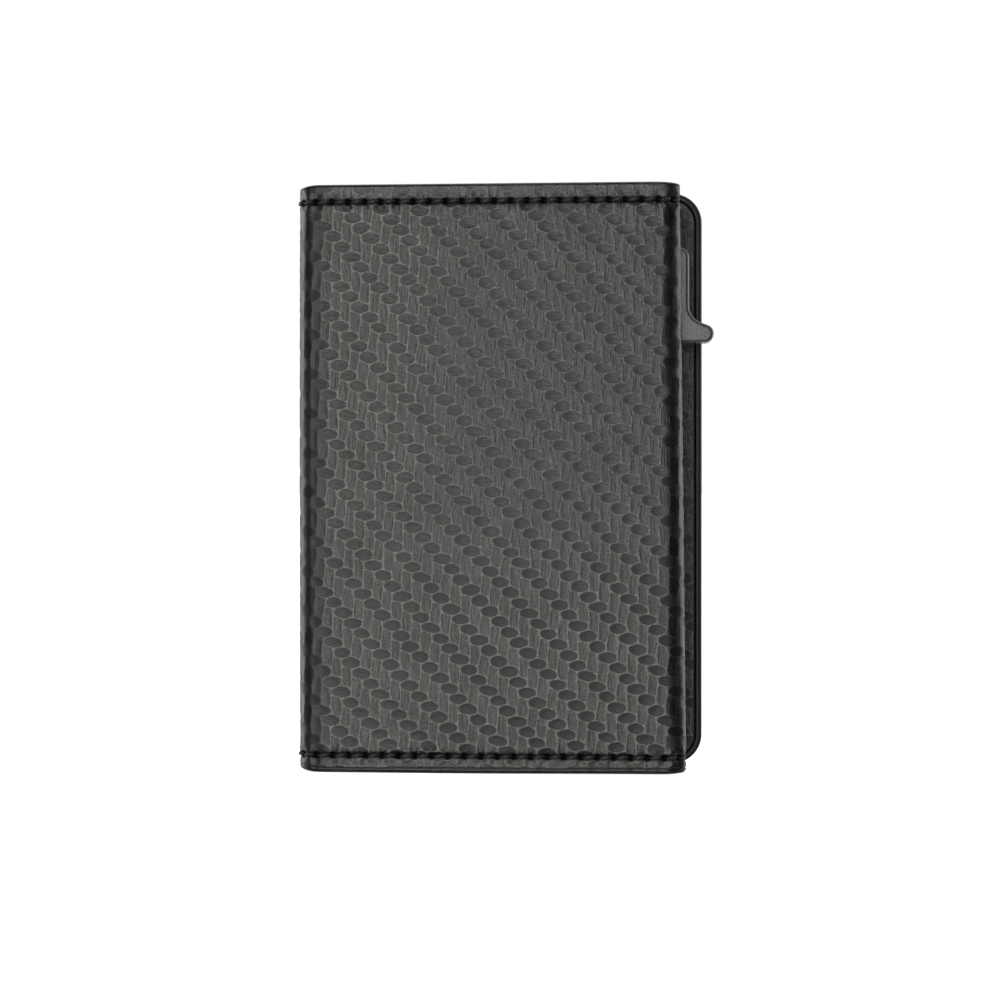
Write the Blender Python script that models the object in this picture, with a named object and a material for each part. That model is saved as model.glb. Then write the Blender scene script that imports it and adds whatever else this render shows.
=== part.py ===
"""Minimalist wallet: a pop-up card case inside a folded leather cover.

All lengths are metres, +Z up.  The wallet stands on its lower edges with the
folded front cover facing -Y and the trigger on the right, +X.  Sizes below are
laid out from the middle of the front cover (x), from its outer face (y, growing
towards the back) and from the lower edge (z).  The wallet_origin empty moves
that layout so that the origin is the bottom centre of the whole object.
"""

import math

import bmesh
import bpy
from mathutils import Vector

# --- leather cover -----------------------------------------------------------
LEATHER = 0.0010            # thickness of one leather layer
HEIGHT = 0.1000             # height of the leather, front and back
DEPTH = 0.0180              # closed wallet, outer face to outer face
SPINE_OUTER = -0.0334       # outer face of the spine
COVER_RIGHT = 0.0325        # folded right edge of the front cover
COVER_DEPTH = 0.0040        # folded front cover, pocket included
POCKET_LEFT = -0.0210       # free edge of the pocket's inner layer
POCKET_MARGIN = 0.0040      # sewn strip above and below the pocket
BACK_RIGHT = 0.03605        # right edge of the back panel
BACK_CORNER = 0.0052        # corner radius of the back panel
BACK_FRONT = 0.0151         # inner face of the back panel's lining
LINING = 0.0007             # thin lining on the spine
BOARD = 0.0009              # stiffener in the front cover
BACK_BOARD = 0.0008         # stiffener in the back panel
BOARD_INSET = 0.0030        # leather margin around the back board
BOARD_LEFT = -0.0310        # left edge of both stiffeners
LINING_LEFT = -0.0315       # left edge of the back lining
LAYER_GAP = 0.00005         # glue line between laminated layers

# --- folds -------------------------------------------------------------------
FOLD_INSET = 0.0008         # fold axis, measured in from the outer faces
FOLD_X = SPINE_OUTER + FOLD_INSET
FRONT_FOLD = (FOLD_X, FOLD_INSET, 0.0)
BACK_FOLD = (FOLD_X, DEPTH - FOLD_INSET, 0.0)
FOLD_SIDE_GAP = 0.0001      # leather of the flat panels starts this far from the axis
FOLD_SPINE_GAP = 0.00025    # leather of the spine starts this far from the axis

# --- thread ------------------------------------------------------------------
STITCH_INSET = 0.0029       # front and spine stitches, from the edge
RIM_INSET = 0.0016          # crease and stitches of the back panel, from the edge
THREAD_WIDTH = 0.0008
RIM_THREAD_WIDTH = 0.0005
THREAD_THICK = 0.0003
GROOVE_DEPTH = 0.0004
GROOVE_SIDE = 0.0001        # groove is wider than its thread by this on each side
CREASE_WIDTH = 0.0004
CREASE_DEPTH = 0.0003

# --- magnets -----------------------------------------------------------------
MAGNET_R = 0.0040
KEEPER_R = 0.0050
KEEPER_THICK = 0.0005
KEEPER_RECESS = 0.0006
MAGNET_X = 0.0240
MAGNET_HEIGHTS = {"lower": 0.0250, "upper": 0.0750}
DISC_GAP = 0.00015

# --- card case ---------------------------------------------------------------
CASE_LEFT = -0.0304
CASE_RIGHT = 0.0312
CASE_FRONT = 0.0043
CASE_BACK = 0.0147
CASE_WALL = 0.0010
CASE_CORNER = 0.0020
CASE_BOTTOM = 0.0015
CASE_TOP = 0.0985
COLLAR_TOP = 0.0044
CAP_BOTTOM = 0.0962
BUTT_GAP = 0.0001           # between the tube and its two end pieces
SPIGOT_GAP = 0.0002         # between an end piece's spigot and the tube wall
SPIGOT_TOP = 0.0090
CAP_PLUG = 0.0037           # depth of the cap's plug
CAP_PLUG_LEFT = -0.0200
SOFT_EDGE = 0.0004          # rounding of the plastic end pieces

# --- card bay ----------------------------------------------------------------
BAY_LEFT = -0.0288
BAY_RIGHT = 0.0258
BAY_FRONT = 0.0055
BAY_BACK = 0.0110
CARD_LAYERS = 6
CARD_PITCH = 0.00085
GRIP_WIDTH = 0.0080
GRIP_THICK = 0.00015
GRIP_BOTTOM = 0.0120
GRIP_TOP = 0.0420
GRIP_CENTRES = {"left": -0.0180, "right": 0.0150}

# --- fan arm -----------------------------------------------------------------
PIVOT_X = -0.0250
PIVOT_Z = 0.0923
PIN_R = 0.0012
PIN_BORE_R = 0.0014
HUB_R = 0.0030
ARM_FRONT = 0.0057
PLATE_FRONT = 0.0111
PLATE_BACK = 0.0121
STEP_LOW = -0.0044          # underside of the steps, from the pivot
STEP_HIGH = -0.0014
STEP_START = -0.0010
SHORTEST_STEP = 0.0160
STEP_GROWTH = 0.0060
PLATE_LOW = -0.0058         # edges of the slotted plate, from the pivot
PLATE_HIGH = 0.0035
PLATE_CORNER = 0.0025
DRIVE_RADIUS = 0.0390       # drive peg at rest: this far across from the pivot
DRIVE_DROP = 0.0030         # and this far below it
TRAVEL = 0.0250             # trigger travel
FAN_RATIO = 1 / DRIVE_RADIUS    # arm turn in radians for each metre of travel
SLOT_HALF = 0.00145
SLOT_WALL = 0.0012

# --- trigger and carriage ----------------------------------------------------
TRIGGER_INNER = 0.0315
STEM_OUTER = 0.0336
TRIGGER_TIP = 0.03765
TRIGGER_LOW = 0.0733
TRIGGER_HIGH = 0.0897
TRIGGER_WIDTH = 0.0052
TIP_R = 0.00155
SADDLE_R = 0.0030
SADDLE_START = 0.0796       # height where the stem flares into the saddle
STEM_CORNER = 0.0018
TRIGGER_EDGE = 0.00035
NECK_LOW = 0.0750
NECK_HIGH = 0.0860
NECK_HALF = 0.0015
NECK_END = 0.0280
SLOT_CLEAR = 0.0003
SOCKET_GAP = 0.0002
CARRIAGE_LEFT = 0.0270
CARRIAGE_RIGHT = 0.0299
CARRIAGE_FRONT = 0.0059
CARRIAGE_BACK = 0.0134
CARRIAGE_LOW = 0.0700
CARRIAGE_HIGH = 0.0885
TONGUE_FRONT = 0.0124
TONGUE_HALF = 0.0016
TONGUE_INSET = 0.0001
PEG_R = 0.0012
PEG_END = 0.0113
RIVET_R = 0.0006
RIVET_BORE_R = 0.0008
RIVET_X = 0.0289
RIVET_Z = 0.0800
RIVET_RECESS = 0.0003

# --- derived -----------------------------------------------------------------
CASE_MIDDLE = (CASE_FRONT + CASE_BACK) / 2
COVER_LEFT = FOLD_X + FOLD_SIDE_GAP
ORIGIN = Vector(((SPINE_OUTER + TRIGGER_TIP) / 2, DEPTH / 2, 0.0))
OVERCUT = 0.0010            # how far a cutter runs past the face it opens
ARC_STEPS = 6
CIRCLE_STEPS = 32

FRAMES = {}
MATERIALS = {}


# --- scene helpers -----------------------------------------------------------

def clear_scene():
    """Remove every object that the scene starts with."""
    for obj in list(bpy.data.objects):
        bpy.data.objects.remove(obj, do_unlink=True)


def material(name, color, roughness, metallic=0.0):
    """Make one Principled material and keep it by name."""
    made = bpy.data.materials.new(name)
    made.use_nodes = True
    shader = made.node_tree.nodes["Principled BSDF"]
    shader.inputs["Base Color"].default_value = (*color, 1.0)
    shader.inputs["Roughness"].default_value = roughness
    shader.inputs["Metallic"].default_value = metallic
    MATERIALS[name] = made


def make_materials():
    material("carbon_leather", (0.085, 0.083, 0.080), 0.45)
    material("lining_leather", (0.055, 0.055, 0.056), 0.55)
    material("board_grey", (0.20, 0.19, 0.17), 0.90)
    material("thread_black", (0.012, 0.012, 0.013), 0.75)
    material("case_aluminium", (0.16, 0.16, 0.17), 0.35, 1.0)
    material("end_plastic", (0.020, 0.020, 0.021), 0.50)
    material("trigger_plastic", (0.098, 0.098, 0.100), 0.45)
    material("carriage_plastic", (0.030, 0.030, 0.032), 0.40)
    material("arm_plastic", (0.60, 0.60, 0.58), 0.45)
    material("pin_steel", (0.60, 0.60, 0.61), 0.25, 1.0)
    material("magnet_nickel", (0.65, 0.64, 0.60), 0.22, 1.0)
    material("grip_felt", (0.030, 0.030, 0.034), 0.95)
    material("adhesive_film", (0.55, 0.54, 0.50), 0.60)


def add_frame(name, position, parent=None):
    """Add an empty at a layout position; parts hang on it."""
    position = Vector(position)
    empty = bpy.data.objects.new(name, None)
    empty.empty_display_size = 0.01
    bpy.context.scene.collection.objects.link(empty)
    if parent is None:
        empty.location = position - ORIGIN
    else:
        empty.parent = FRAMES[parent][0]
        empty.location = position - FRAMES[parent][1]
    FRAMES[name] = (empty, position)


def add_object(name, bm, frame, surface, place=(0.0, 0.0, 0.0)):
    """Turn a bmesh built around the layout position `place` into an object."""
    bmesh.ops.recalc_face_normals(bm, faces=bm.faces)
    mesh = bpy.data.meshes.new(name)
    bm.to_mesh(mesh)
    bm.free()
    obj = bpy.data.objects.new(name, mesh)
    bpy.context.scene.collection.objects.link(obj)
    empty, position = FRAMES[frame]
    obj.parent = empty
    obj.location = Vector(place) - position
    if surface is None:
        obj.hide_render = True
        obj.display_type = 'WIRE'
    else:
        mesh.materials.append(MATERIALS[surface])
    return obj


def smooth(obj, angle=35.0):
    """Shade round walls smooth and keep real edges sharp."""
    obj.data.shade_smooth()
    obj.data.set_sharp_from_angle(angle=math.radians(angle))


def boolean(target, tool, operation):
    change = target.modifiers.new(tool.name, 'BOOLEAN')
    change.operation = operation
    change.solver = 'EXACT'
    change.object = tool


def soften(obj, width, segments=2):
    """Round the sharp edges of an object."""
    edge = obj.modifiers.new("soft_edge", 'BEVEL')
    edge.width = width
    edge.segments = segments
    edge.limit_method = 'ANGLE'
    edge.angle_limit = math.radians(40.0)


# --- outlines ----------------------------------------------------------------

def arc(cx, cy, radius, start, end, steps=ARC_STEPS):
    """Points along an arc, angles in degrees."""
    points = []
    for i in range(steps + 1):
        turn = math.radians(start + (end - start) * i / steps)
        points.append((cx + radius * math.cos(turn), cy + radius * math.sin(turn)))
    return points


def circle(cx, cy, radius, steps=CIRCLE_STEPS):
    return arc(cx, cy, radius, 0.0, 360.0, steps)[:-1]


def rounded_box(left, right, low, high, radius):
    """Rectangle with four round corners."""
    outline = []
    outline += arc(left + radius, low + radius, radius, 180.0, 270.0)
    outline += arc(right - radius, low + radius, radius, 270.0, 360.0)
    outline += arc(right - radius, high - radius, radius, 0.0, 90.0)
    outline += arc(left + radius, high - radius, radius, 90.0, 180.0)
    return outline


def back_edge(inset, left):
    """Lower, right and upper edge of the back panel, moved in by `inset`."""
    radius = BACK_CORNER - inset
    middle = BACK_RIGHT - BACK_CORNER
    edge = [(left, inset)]
    edge += arc(middle, BACK_CORNER, radius, -90.0, 0.0)
    edge += arc(middle, HEIGHT - BACK_CORNER, radius, 0.0, 90.0)
    edge.append((left, HEIGHT - inset))
    return edge


def back_strip(inset, width, left):
    """Narrow strip that follows the edge of the back panel."""
    outer = back_edge(inset - width / 2, left)
    inner = back_edge(inset + width / 2, left)
    return outer + inner[::-1]


# --- solids ------------------------------------------------------------------

def prism_mesh(outline, axis, low, high):
    """Extrude a flat outline along Y or Z, from low to high."""
    def point(a, b, along):
        return Vector((a, along, b)) if axis == 'Y' else Vector((a, b, along))

    bm = bmesh.new()
    face = bm.faces.new([bm.verts.new(point(a, b, low)) for a, b in outline])
    grown = bmesh.ops.extrude_face_region(bm, geom=[face])
    moved = [item for item in grown["geom"] if isinstance(item, bmesh.types.BMVert)]
    bmesh.ops.translate(bm, vec=point(0.0, 0.0, high - low), verts=moved)
    return bm


def prism(name, outline, axis, low, high, surface, frame="wallet_origin"):
    return add_object(name, prism_mesh(outline, axis, low, high), frame, surface)


def box(name, low, high, surface, frame="wallet_origin"):
    """Block between two corners, with its origin in its middle."""
    low, high = Vector(low), Vector(high)
    bm = bmesh.new()
    bmesh.ops.create_cube(bm, size=1.0)
    bmesh.ops.scale(bm, vec=high - low, verts=bm.verts)
    return add_object(name, bm, frame, surface, (low + high) / 2)


def disc(name, x, z, radius, front, back, surface, frame="wallet_origin"):
    """Round piece along Y, with its origin on its axis."""
    bm = prism_mesh(circle(0.0, 0.0, radius), 'Y', front, back)
    obj = add_object(name, bm, frame, surface, (x, 0.0, z))
    smooth(obj)
    return obj


# --- front cover -------------------------------------------------------------

def build_front_cover():
    """Folded leather with the note pocket, its stiffener, magnets and thread."""
    frame = "front_fold_axis"
    half = COVER_DEPTH / 2
    bend = COVER_RIGHT - half
    outline = [(COVER_LEFT, 0.0)]
    outline += arc(bend, half, half, -90.0, 90.0, 2 * ARC_STEPS)
    outline += [(POCKET_LEFT, COVER_DEPTH), (POCKET_LEFT, LEATHER), (COVER_LEFT, LEATHER)]
    leather = prism("front_leather", outline, 'Z', 0.0, HEIGHT, "carbon_leather", frame)

    hollow = [(POCKET_LEFT - OVERCUT, LEATHER)]
    hollow += arc(bend, half, half - LEATHER, -90.0, 90.0, 2 * ARC_STEPS)
    hollow += [(POCKET_LEFT - OVERCUT, COVER_DEPTH - LEATHER)]
    pocket = prism("cut_pocket", hollow, 'Z', POCKET_MARGIN, HEIGHT - POCKET_MARGIN, None, frame)
    boolean(leather, pocket, 'DIFFERENCE')

    board = box("front_board",
                (BOARD_LEFT, LEATHER + LAYER_GAP, POCKET_MARGIN + DISC_GAP),
                (bend - BOARD_INSET / 2, LEATHER + LAYER_GAP + BOARD, HEIGHT - POCKET_MARGIN - DISC_GAP),
                "board_grey", frame)

    for side, centre in (("lower", STITCH_INSET), ("upper", HEIGHT - STITCH_INSET)):
        reach = THREAD_WIDTH / 2
        groove = box("cut_front_groove_" + side,
                     (COVER_LEFT - OVERCUT, -OVERCUT, centre - reach - GROOVE_SIDE),
                     (COVER_RIGHT, GROOVE_DEPTH, centre + reach + GROOVE_SIDE), None, frame)
        boolean(leather, groove, 'DIFFERENCE')
        box("front_thread_" + side,
            (COVER_LEFT, LAYER_GAP, centre - reach),
            (bend, LAYER_GAP + THREAD_THICK, centre + reach), "thread_black", frame)

    for side, height in MAGNET_HEIGHTS.items():
        seat = disc("cut_magnet_seat_" + side, MAGNET_X, height, MAGNET_R + DISC_GAP,
                    0.0, COVER_DEPTH, None, frame)
        boolean(board, seat, 'DIFFERENCE')
        front = LEATHER + LAYER_GAP
        disc("magnet_" + side, MAGNET_X, height, MAGNET_R, front, front + BOARD,
             "magnet_nickel", frame)


# --- spine -------------------------------------------------------------------

def build_spine():
    """Leather strip between the two folds, its lining and its thread."""
    frame = "back_fold_axis"
    near = FRONT_FOLD[1] + FOLD_SPINE_GAP
    far = BACK_FOLD[1] - FOLD_SPINE_GAP
    leather = box("spine_leather", (SPINE_OUTER, near, 0.0), (SPINE_OUTER + LEATHER, far, HEIGHT),
                  "carbon_leather", frame)
    inner = SPINE_OUTER + LEATHER + LAYER_GAP
    box("spine_lining", (inner, near + LEATHER, LEATHER),
        (inner + LINING, BACK_FRONT - SLOT_CLEAR, HEIGHT - LEATHER), "lining_leather", frame)
    for side, centre in (("lower", STITCH_INSET), ("upper", HEIGHT - STITCH_INSET)):
        reach = THREAD_WIDTH / 2
        groove = box("cut_spine_groove_" + side,
                     (SPINE_OUTER - OVERCUT, near - OVERCUT, centre - reach - GROOVE_SIDE),
                     (SPINE_OUTER + GROOVE_DEPTH, far + OVERCUT, centre + reach + GROOVE_SIDE),
                     None, frame)
        boolean(leather, groove, 'DIFFERENCE')
        box("spine_thread_" + side,
            (SPINE_OUTER + LAYER_GAP, near, centre - reach),
            (SPINE_OUTER + LAYER_GAP + THREAD_THICK, far, centre + reach), "thread_black", frame)


# --- back panel --------------------------------------------------------------

def build_back_panel():
    """Round-cornered back panel: outer leather, board, lining and rim thread."""
    leather = prism("back_leather", back_edge(0.0, COVER_LEFT), 'Y', DEPTH - LEATHER, DEPTH,
                    "carbon_leather")
    groove = prism("cut_rim_groove",
                   back_strip(RIM_INSET, RIM_THREAD_WIDTH + 2 * GROOVE_SIDE, COVER_LEFT - OVERCUT),
                   'Y', DEPTH - GROOVE_DEPTH, DEPTH + OVERCUT, None)
    boolean(leather, groove, 'DIFFERENCE')
    prism("back_thread", back_strip(RIM_INSET, RIM_THREAD_WIDTH, COVER_LEFT), 'Y',
          DEPTH - LAYER_GAP - THREAD_THICK, DEPTH - LAYER_GAP, "thread_black")

    board_front = BACK_FRONT + LEATHER + LAYER_GAP
    prism("back_board", back_edge(BOARD_INSET, BOARD_LEFT), 'Y', board_front,
          board_front + BACK_BOARD, "board_grey")

    lining = prism("back_lining", back_edge(0.0, LINING_LEFT), 'Y', BACK_FRONT, BACK_FRONT + LEATHER,
                   "lining_leather")
    crease = prism("cut_rim_crease", back_strip(RIM_INSET, CREASE_WIDTH, LINING_LEFT - OVERCUT), 'Y',
                   BACK_FRONT - OVERCUT, BACK_FRONT + CREASE_DEPTH, None)
    boolean(lining, crease, 'DIFFERENCE')

    margin = CASE_CORNER
    box("adhesive_pad", (CASE_LEFT + margin, CASE_BACK + LAYER_GAP, CASE_BOTTOM + margin),
        (CASE_RIGHT - margin, BACK_FRONT - LAYER_GAP, CASE_TOP - margin), "adhesive_film")


# --- card case ---------------------------------------------------------------

def case_outline(inset=0.0):
    """Plan of the case, moved in by `inset`."""
    return rounded_box(CASE_LEFT + inset, CASE_RIGHT - inset, CASE_FRONT + inset, CASE_BACK - inset,
                       CASE_CORNER - inset)


def build_case():
    """Aluminium tube, end cap, mouth collar, keepers, grip pads and pivot pin."""
    tube_low = COLLAR_TOP + BUTT_GAP
    tube_high = CAP_BOTTOM - BUTT_GAP
    tube = prism("case_tube", case_outline(), 'Z', tube_low, tube_high, "case_aluminium")
    smooth(tube)
    bore = prism("cut_case_bore", case_outline(CASE_WALL), 'Z', tube_low - OVERCUT,
                 tube_high + OVERCUT, None)
    boolean(tube, bore, 'DIFFERENCE')
    track = box("cut_trigger_track",
                (CASE_RIGHT - 2 * CASE_WALL, CASE_MIDDLE - NECK_HALF - SLOT_CLEAR,
                 NECK_LOW - TRAVEL - SLOT_CLEAR),
                (CASE_RIGHT + OVERCUT, CASE_MIDDLE + NECK_HALF + SLOT_CLEAR,
                 NECK_HIGH + SLOT_CLEAR), None)
    boolean(tube, track, 'DIFFERENCE')
    pin_hole = disc("cut_pin_hole", PIVOT_X, PIVOT_Z, PIN_BORE_R, CASE_FRONT - OVERCUT,
                    CASE_BACK + OVERCUT, None)
    boolean(tube, pin_hole, 'DIFFERENCE')
    disc("pivot_pin", PIVOT_X, PIVOT_Z, PIN_R, CASE_FRONT, CASE_BACK, "pin_steel")

    for side, height in MAGNET_HEIGHTS.items():
        recess = disc("cut_keeper_recess_" + side, MAGNET_X, height, KEEPER_R + DISC_GAP,
                      CASE_FRONT - OVERCUT, CASE_FRONT + KEEPER_RECESS, None)
        boolean(tube, recess, 'DIFFERENCE')
        disc("keeper_" + side, MAGNET_X, height, KEEPER_R, CASE_FRONT + LAYER_GAP,
             CASE_FRONT + LAYER_GAP + KEEPER_THICK, "pin_steel")

    for side, centre in GRIP_CENTRES.items():
        front = CASE_FRONT + CASE_WALL + LAYER_GAP
        box("grip_pad_" + side, (centre - GRIP_WIDTH / 2, front, GRIP_BOTTOM),
            (centre + GRIP_WIDTH / 2, front + GRIP_THICK, GRIP_TOP), "grip_felt")

    build_collar()
    build_cap()


def build_collar():
    """Frame around the card mouth, with a spigot that locates in the tube."""
    collar = prism("mouth_collar", case_outline(), 'Z', CASE_BOTTOM, COLLAR_TOP, "end_plastic")
    smooth(collar)
    soften(collar, SOFT_EDGE)
    inner = CASE_WALL + SPIGOT_GAP
    side_shape = rounded_box(BAY_RIGHT + SPIGOT_GAP, CASE_RIGHT - inner, CASE_FRONT + inner,
                             CASE_BACK - inner, CASE_CORNER - inner)
    side = prism("guide_collar_side", side_shape, 'Z', COLLAR_TOP - OVERCUT, SPIGOT_TOP, None)
    back = box("guide_collar_back",
               (BAY_LEFT + CASE_WALL, BAY_BACK + SLOT_CLEAR, COLLAR_TOP - OVERCUT),
               (BAY_RIGHT + CASE_WALL, CASE_BACK - inner, SPIGOT_TOP), None)
    mouth = box("cut_card_mouth", (BAY_LEFT, BAY_FRONT, CASE_BOTTOM - OVERCUT),
                (BAY_RIGHT, BAY_BACK, COLLAR_TOP + OVERCUT), None)
    boolean(collar, side, 'UNION')
    boolean(collar, back, 'UNION')
    boolean(collar, mouth, 'DIFFERENCE')


def build_cap():
    """Closed upper end, with a plug that locates in the tube."""
    cap = prism("end_cap", case_outline(), 'Z', CAP_BOTTOM, CASE_TOP, "end_plastic")
    smooth(cap)
    soften(cap, SOFT_EDGE)
    inner = CASE_WALL + SPIGOT_GAP
    plug = box("guide_cap_plug", (CAP_PLUG_LEFT, CASE_FRONT + inner, CAP_BOTTOM - CAP_PLUG),
               (CASE_RIGHT - CASE_CORNER, PLATE_FRONT - SLOT_CLEAR, CAP_BOTTOM + OVERCUT), None)
    boolean(cap, plug, 'UNION')


# --- fan arm -----------------------------------------------------------------

def slot_point(travel, side=0.0):
    """Place of the drive peg in the arm's own axes, at a trigger travel.

    The arm turns by FAN_RATIO * travel while the peg runs straight down, so the
    slot is the path that keeps the two in step.  `side` moves the point across
    the path.
    """
    def along(s):
        turn = FAN_RATIO * s
        drop = DRIVE_DROP + s
        return Vector((DRIVE_RADIUS * math.cos(turn) + drop * math.sin(turn),
                       DRIVE_RADIUS * math.sin(turn) - drop * math.cos(turn)))

    step = TRAVEL / 1000.0
    here = along(travel)
    heading = (along(travel + step) - along(travel - step)).normalized()
    across = Vector((-heading.y, heading.x))
    return here + across * side


def slot_outline(half):
    """Closed outline around the whole peg path, round at both ends."""
    count = 2 * ARC_STEPS
    travels = [TRAVEL * i / count for i in range(count + 1)]
    upper = [tuple(slot_point(s, half)) for s in travels]
    lower = [tuple(slot_point(s, -half)) for s in reversed(travels)]
    return upper + slot_end(TRAVEL, half) + lower + slot_end(0.0, -half)


def slot_end(travel, side):
    """Half circle, clockwise from one side of the path to the other."""
    centre = slot_point(travel)
    start = slot_point(travel, side) - centre
    first = math.degrees(math.atan2(start.y, start.x))
    return arc(centre.x, centre.y, abs(side), first, first - 180.0)[1:-1]


def build_fan_arm():
    """Stepped arm that pushes each card by a different amount."""
    frame = "fan_axis"
    home = (PIVOT_X, 0.0, PIVOT_Z)
    reach = slot_point(TRAVEL).x + SLOT_HALF + SLOT_WALL
    corner = PLATE_CORNER
    plate = [(STEP_START, STEP_LOW), (HUB_R, PLATE_LOW)]
    plate += arc(reach - corner, PLATE_LOW + corner, corner, -90.0, 0.0)
    plate += arc(reach - corner, PLATE_HIGH - corner, corner, 0.0, 90.0)
    plate += arc(0.0, 0.0, HUB_R, 90.0, 180.0)
    arm = add_object("fan_arm", prism_mesh(plate, 'Y', PLATE_FRONT, PLATE_BACK), frame, "arm_plastic",
                     home)

    behind = (PLATE_FRONT + PLATE_BACK) / 2
    steps = [(STEP_START, behind)]
    for layer in reversed(range(CARD_LAYERS)):
        length = SHORTEST_STEP + STEP_GROWTH * layer
        front = ARM_FRONT + CARD_PITCH * layer
        steps += [(length, behind), (length, front)]
        behind = front
    steps.append((STEP_START, ARM_FRONT))
    stair = add_object("guide_fan_steps", prism_mesh(steps, 'Z', STEP_LOW, STEP_HIGH), frame, None, home)
    boolean(arm, stair, 'UNION')

    hub = add_object("guide_fan_hub",
                     prism_mesh(circle(0.0, 0.0, HUB_R - SLOT_CLEAR), 'Y', ARM_FRONT,
                                PLATE_BACK - SLOT_CLEAR), frame, None, home)
    boolean(arm, hub, 'UNION')

    bore = add_object("cut_fan_bore",
                      prism_mesh(circle(0.0, 0.0, PIN_BORE_R), 'Y', CASE_FRONT, CASE_BACK), frame,
                      None, home)
    boolean(arm, bore, 'DIFFERENCE')
    slot = add_object("cut_fan_slot",
                      prism_mesh(slot_outline(SLOT_HALF), 'Y', PLATE_FRONT - OVERCUT / 4,
                                 PLATE_BACK + OVERCUT), frame, None, home)
    boolean(arm, slot, 'DIFFERENCE')


# --- trigger -----------------------------------------------------------------

def trigger_outline():
    """Side view of the thumb piece: stem, saddle and foot."""
    saddle_end = 250.0
    tip_start = 70.0
    outline = [(TRIGGER_INNER, TRIGGER_LOW)]
    outline += arc(TRIGGER_TIP - TIP_R, TRIGGER_LOW + TIP_R, TIP_R, -90.0, tip_start, 2 * ARC_STEPS)
    saddle = arc(STEM_OUTER + SADDLE_R, SADDLE_START, SADDLE_R, 180.0, saddle_end, 2 * ARC_STEPS)
    outline += saddle[::-1]
    outline += arc(STEM_OUTER - STEM_CORNER, TRIGGER_HIGH - STEM_CORNER, STEM_CORNER, 0.0, 90.0)
    outline.append((TRIGGER_INNER, TRIGGER_HIGH))
    return outline


def build_trigger():
    """Thumb piece, the carriage that it drives and the rivet between them."""
    frame = "trigger_axis"
    half = TRIGGER_WIDTH / 2
    trigger = prism("trigger", trigger_outline(), 'Y', CASE_MIDDLE - half, CASE_MIDDLE + half,
                    "trigger_plastic", frame)
    smooth(trigger)
    soften(trigger, TRIGGER_EDGE)
    neck = box("guide_trigger_neck", (NECK_END, CASE_MIDDLE - NECK_HALF, NECK_LOW),
               (TRIGGER_INNER + OVERCUT, CASE_MIDDLE + NECK_HALF, NECK_HIGH), None, frame)
    boolean(trigger, neck, 'UNION')

    carriage = box("trigger_carriage", (CARRIAGE_LEFT, CARRIAGE_FRONT, CARRIAGE_LOW),
                   (CARRIAGE_RIGHT, CARRIAGE_BACK, CARRIAGE_HIGH), "carriage_plastic", frame)
    peg_x = PIVOT_X + DRIVE_RADIUS
    peg_z = PIVOT_Z - DRIVE_DROP
    riser = box("guide_carriage_riser", (CARRIAGE_LEFT, TONGUE_FRONT, CARRIAGE_HIGH - OVERCUT),
                (CARRIAGE_RIGHT, CARRIAGE_BACK, peg_z + TONGUE_HALF + TONGUE_INSET), None, frame)
    tongue_shape = [(CARRIAGE_RIGHT - OVERCUT, peg_z - TONGUE_HALF),
                    (CARRIAGE_RIGHT - OVERCUT, peg_z + TONGUE_HALF)]
    tongue_shape += arc(peg_x, peg_z, TONGUE_HALF, 90.0, 270.0, 2 * ARC_STEPS)
    tongue = prism("guide_carriage_tongue", tongue_shape, 'Y', TONGUE_FRONT + TONGUE_INSET,
                   CARRIAGE_BACK - TONGUE_INSET, None, frame)
    peg = disc("guide_drive_peg", peg_x, peg_z, PEG_R, PEG_END,
               (TONGUE_FRONT + CARRIAGE_BACK) / 2, None, frame)
    socket = box("cut_neck_socket",
                 (NECK_END - SOCKET_GAP, CASE_MIDDLE - NECK_HALF - SOCKET_GAP, NECK_LOW - SOCKET_GAP),
                 (CARRIAGE_RIGHT + OVERCUT, CASE_MIDDLE + NECK_HALF + SOCKET_GAP,
                  NECK_HIGH + SOCKET_GAP), None, frame)
    rivet_hole = disc("cut_rivet_hole", RIVET_X, RIVET_Z, RIVET_BORE_R, CASE_FRONT, CASE_BACK, None,
                      frame)
    for tool in (riser, tongue, peg):
        boolean(carriage, tool, 'UNION')
    boolean(carriage, socket, 'DIFFERENCE')
    boolean(carriage, rivet_hole, 'DIFFERENCE')
    boolean(trigger, rivet_hole, 'DIFFERENCE')
    disc("trigger_rivet", RIVET_X, RIVET_Z, RIVET_R, CARRIAGE_FRONT + RIVET_RECESS,
         CARRIAGE_BACK - RIVET_RECESS, "pin_steel", frame)


# --- assembly ----------------------------------------------------------------

def build_wallet():
    clear_scene()
    make_materials()
    add_frame("wallet_origin", (0.0, 0.0, 0.0))
    add_frame("back_fold_axis", BACK_FOLD, "wallet_origin")
    add_frame("front_fold_axis", FRONT_FOLD, "back_fold_axis")
    add_frame("fan_axis", (PIVOT_X, 0.0, PIVOT_Z), "wallet_origin")
    add_frame("trigger_axis", (TRIGGER_INNER, CASE_MIDDLE, TRIGGER_LOW), "wallet_origin")
    build_front_cover()
    build_spine()
    build_back_panel()
    build_case()
    build_fan_arm()
    build_trigger()
    bpy.context.view_layer.update()


build_wallet()
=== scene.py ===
"""Looks of the minimalist wallet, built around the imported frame.

Leather sheets with an embossed carbon weave fold round a metal card case.
All lengths are metres in the frame's axes: +X right, +Y to the back, +Z up.
"""

import math

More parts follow.
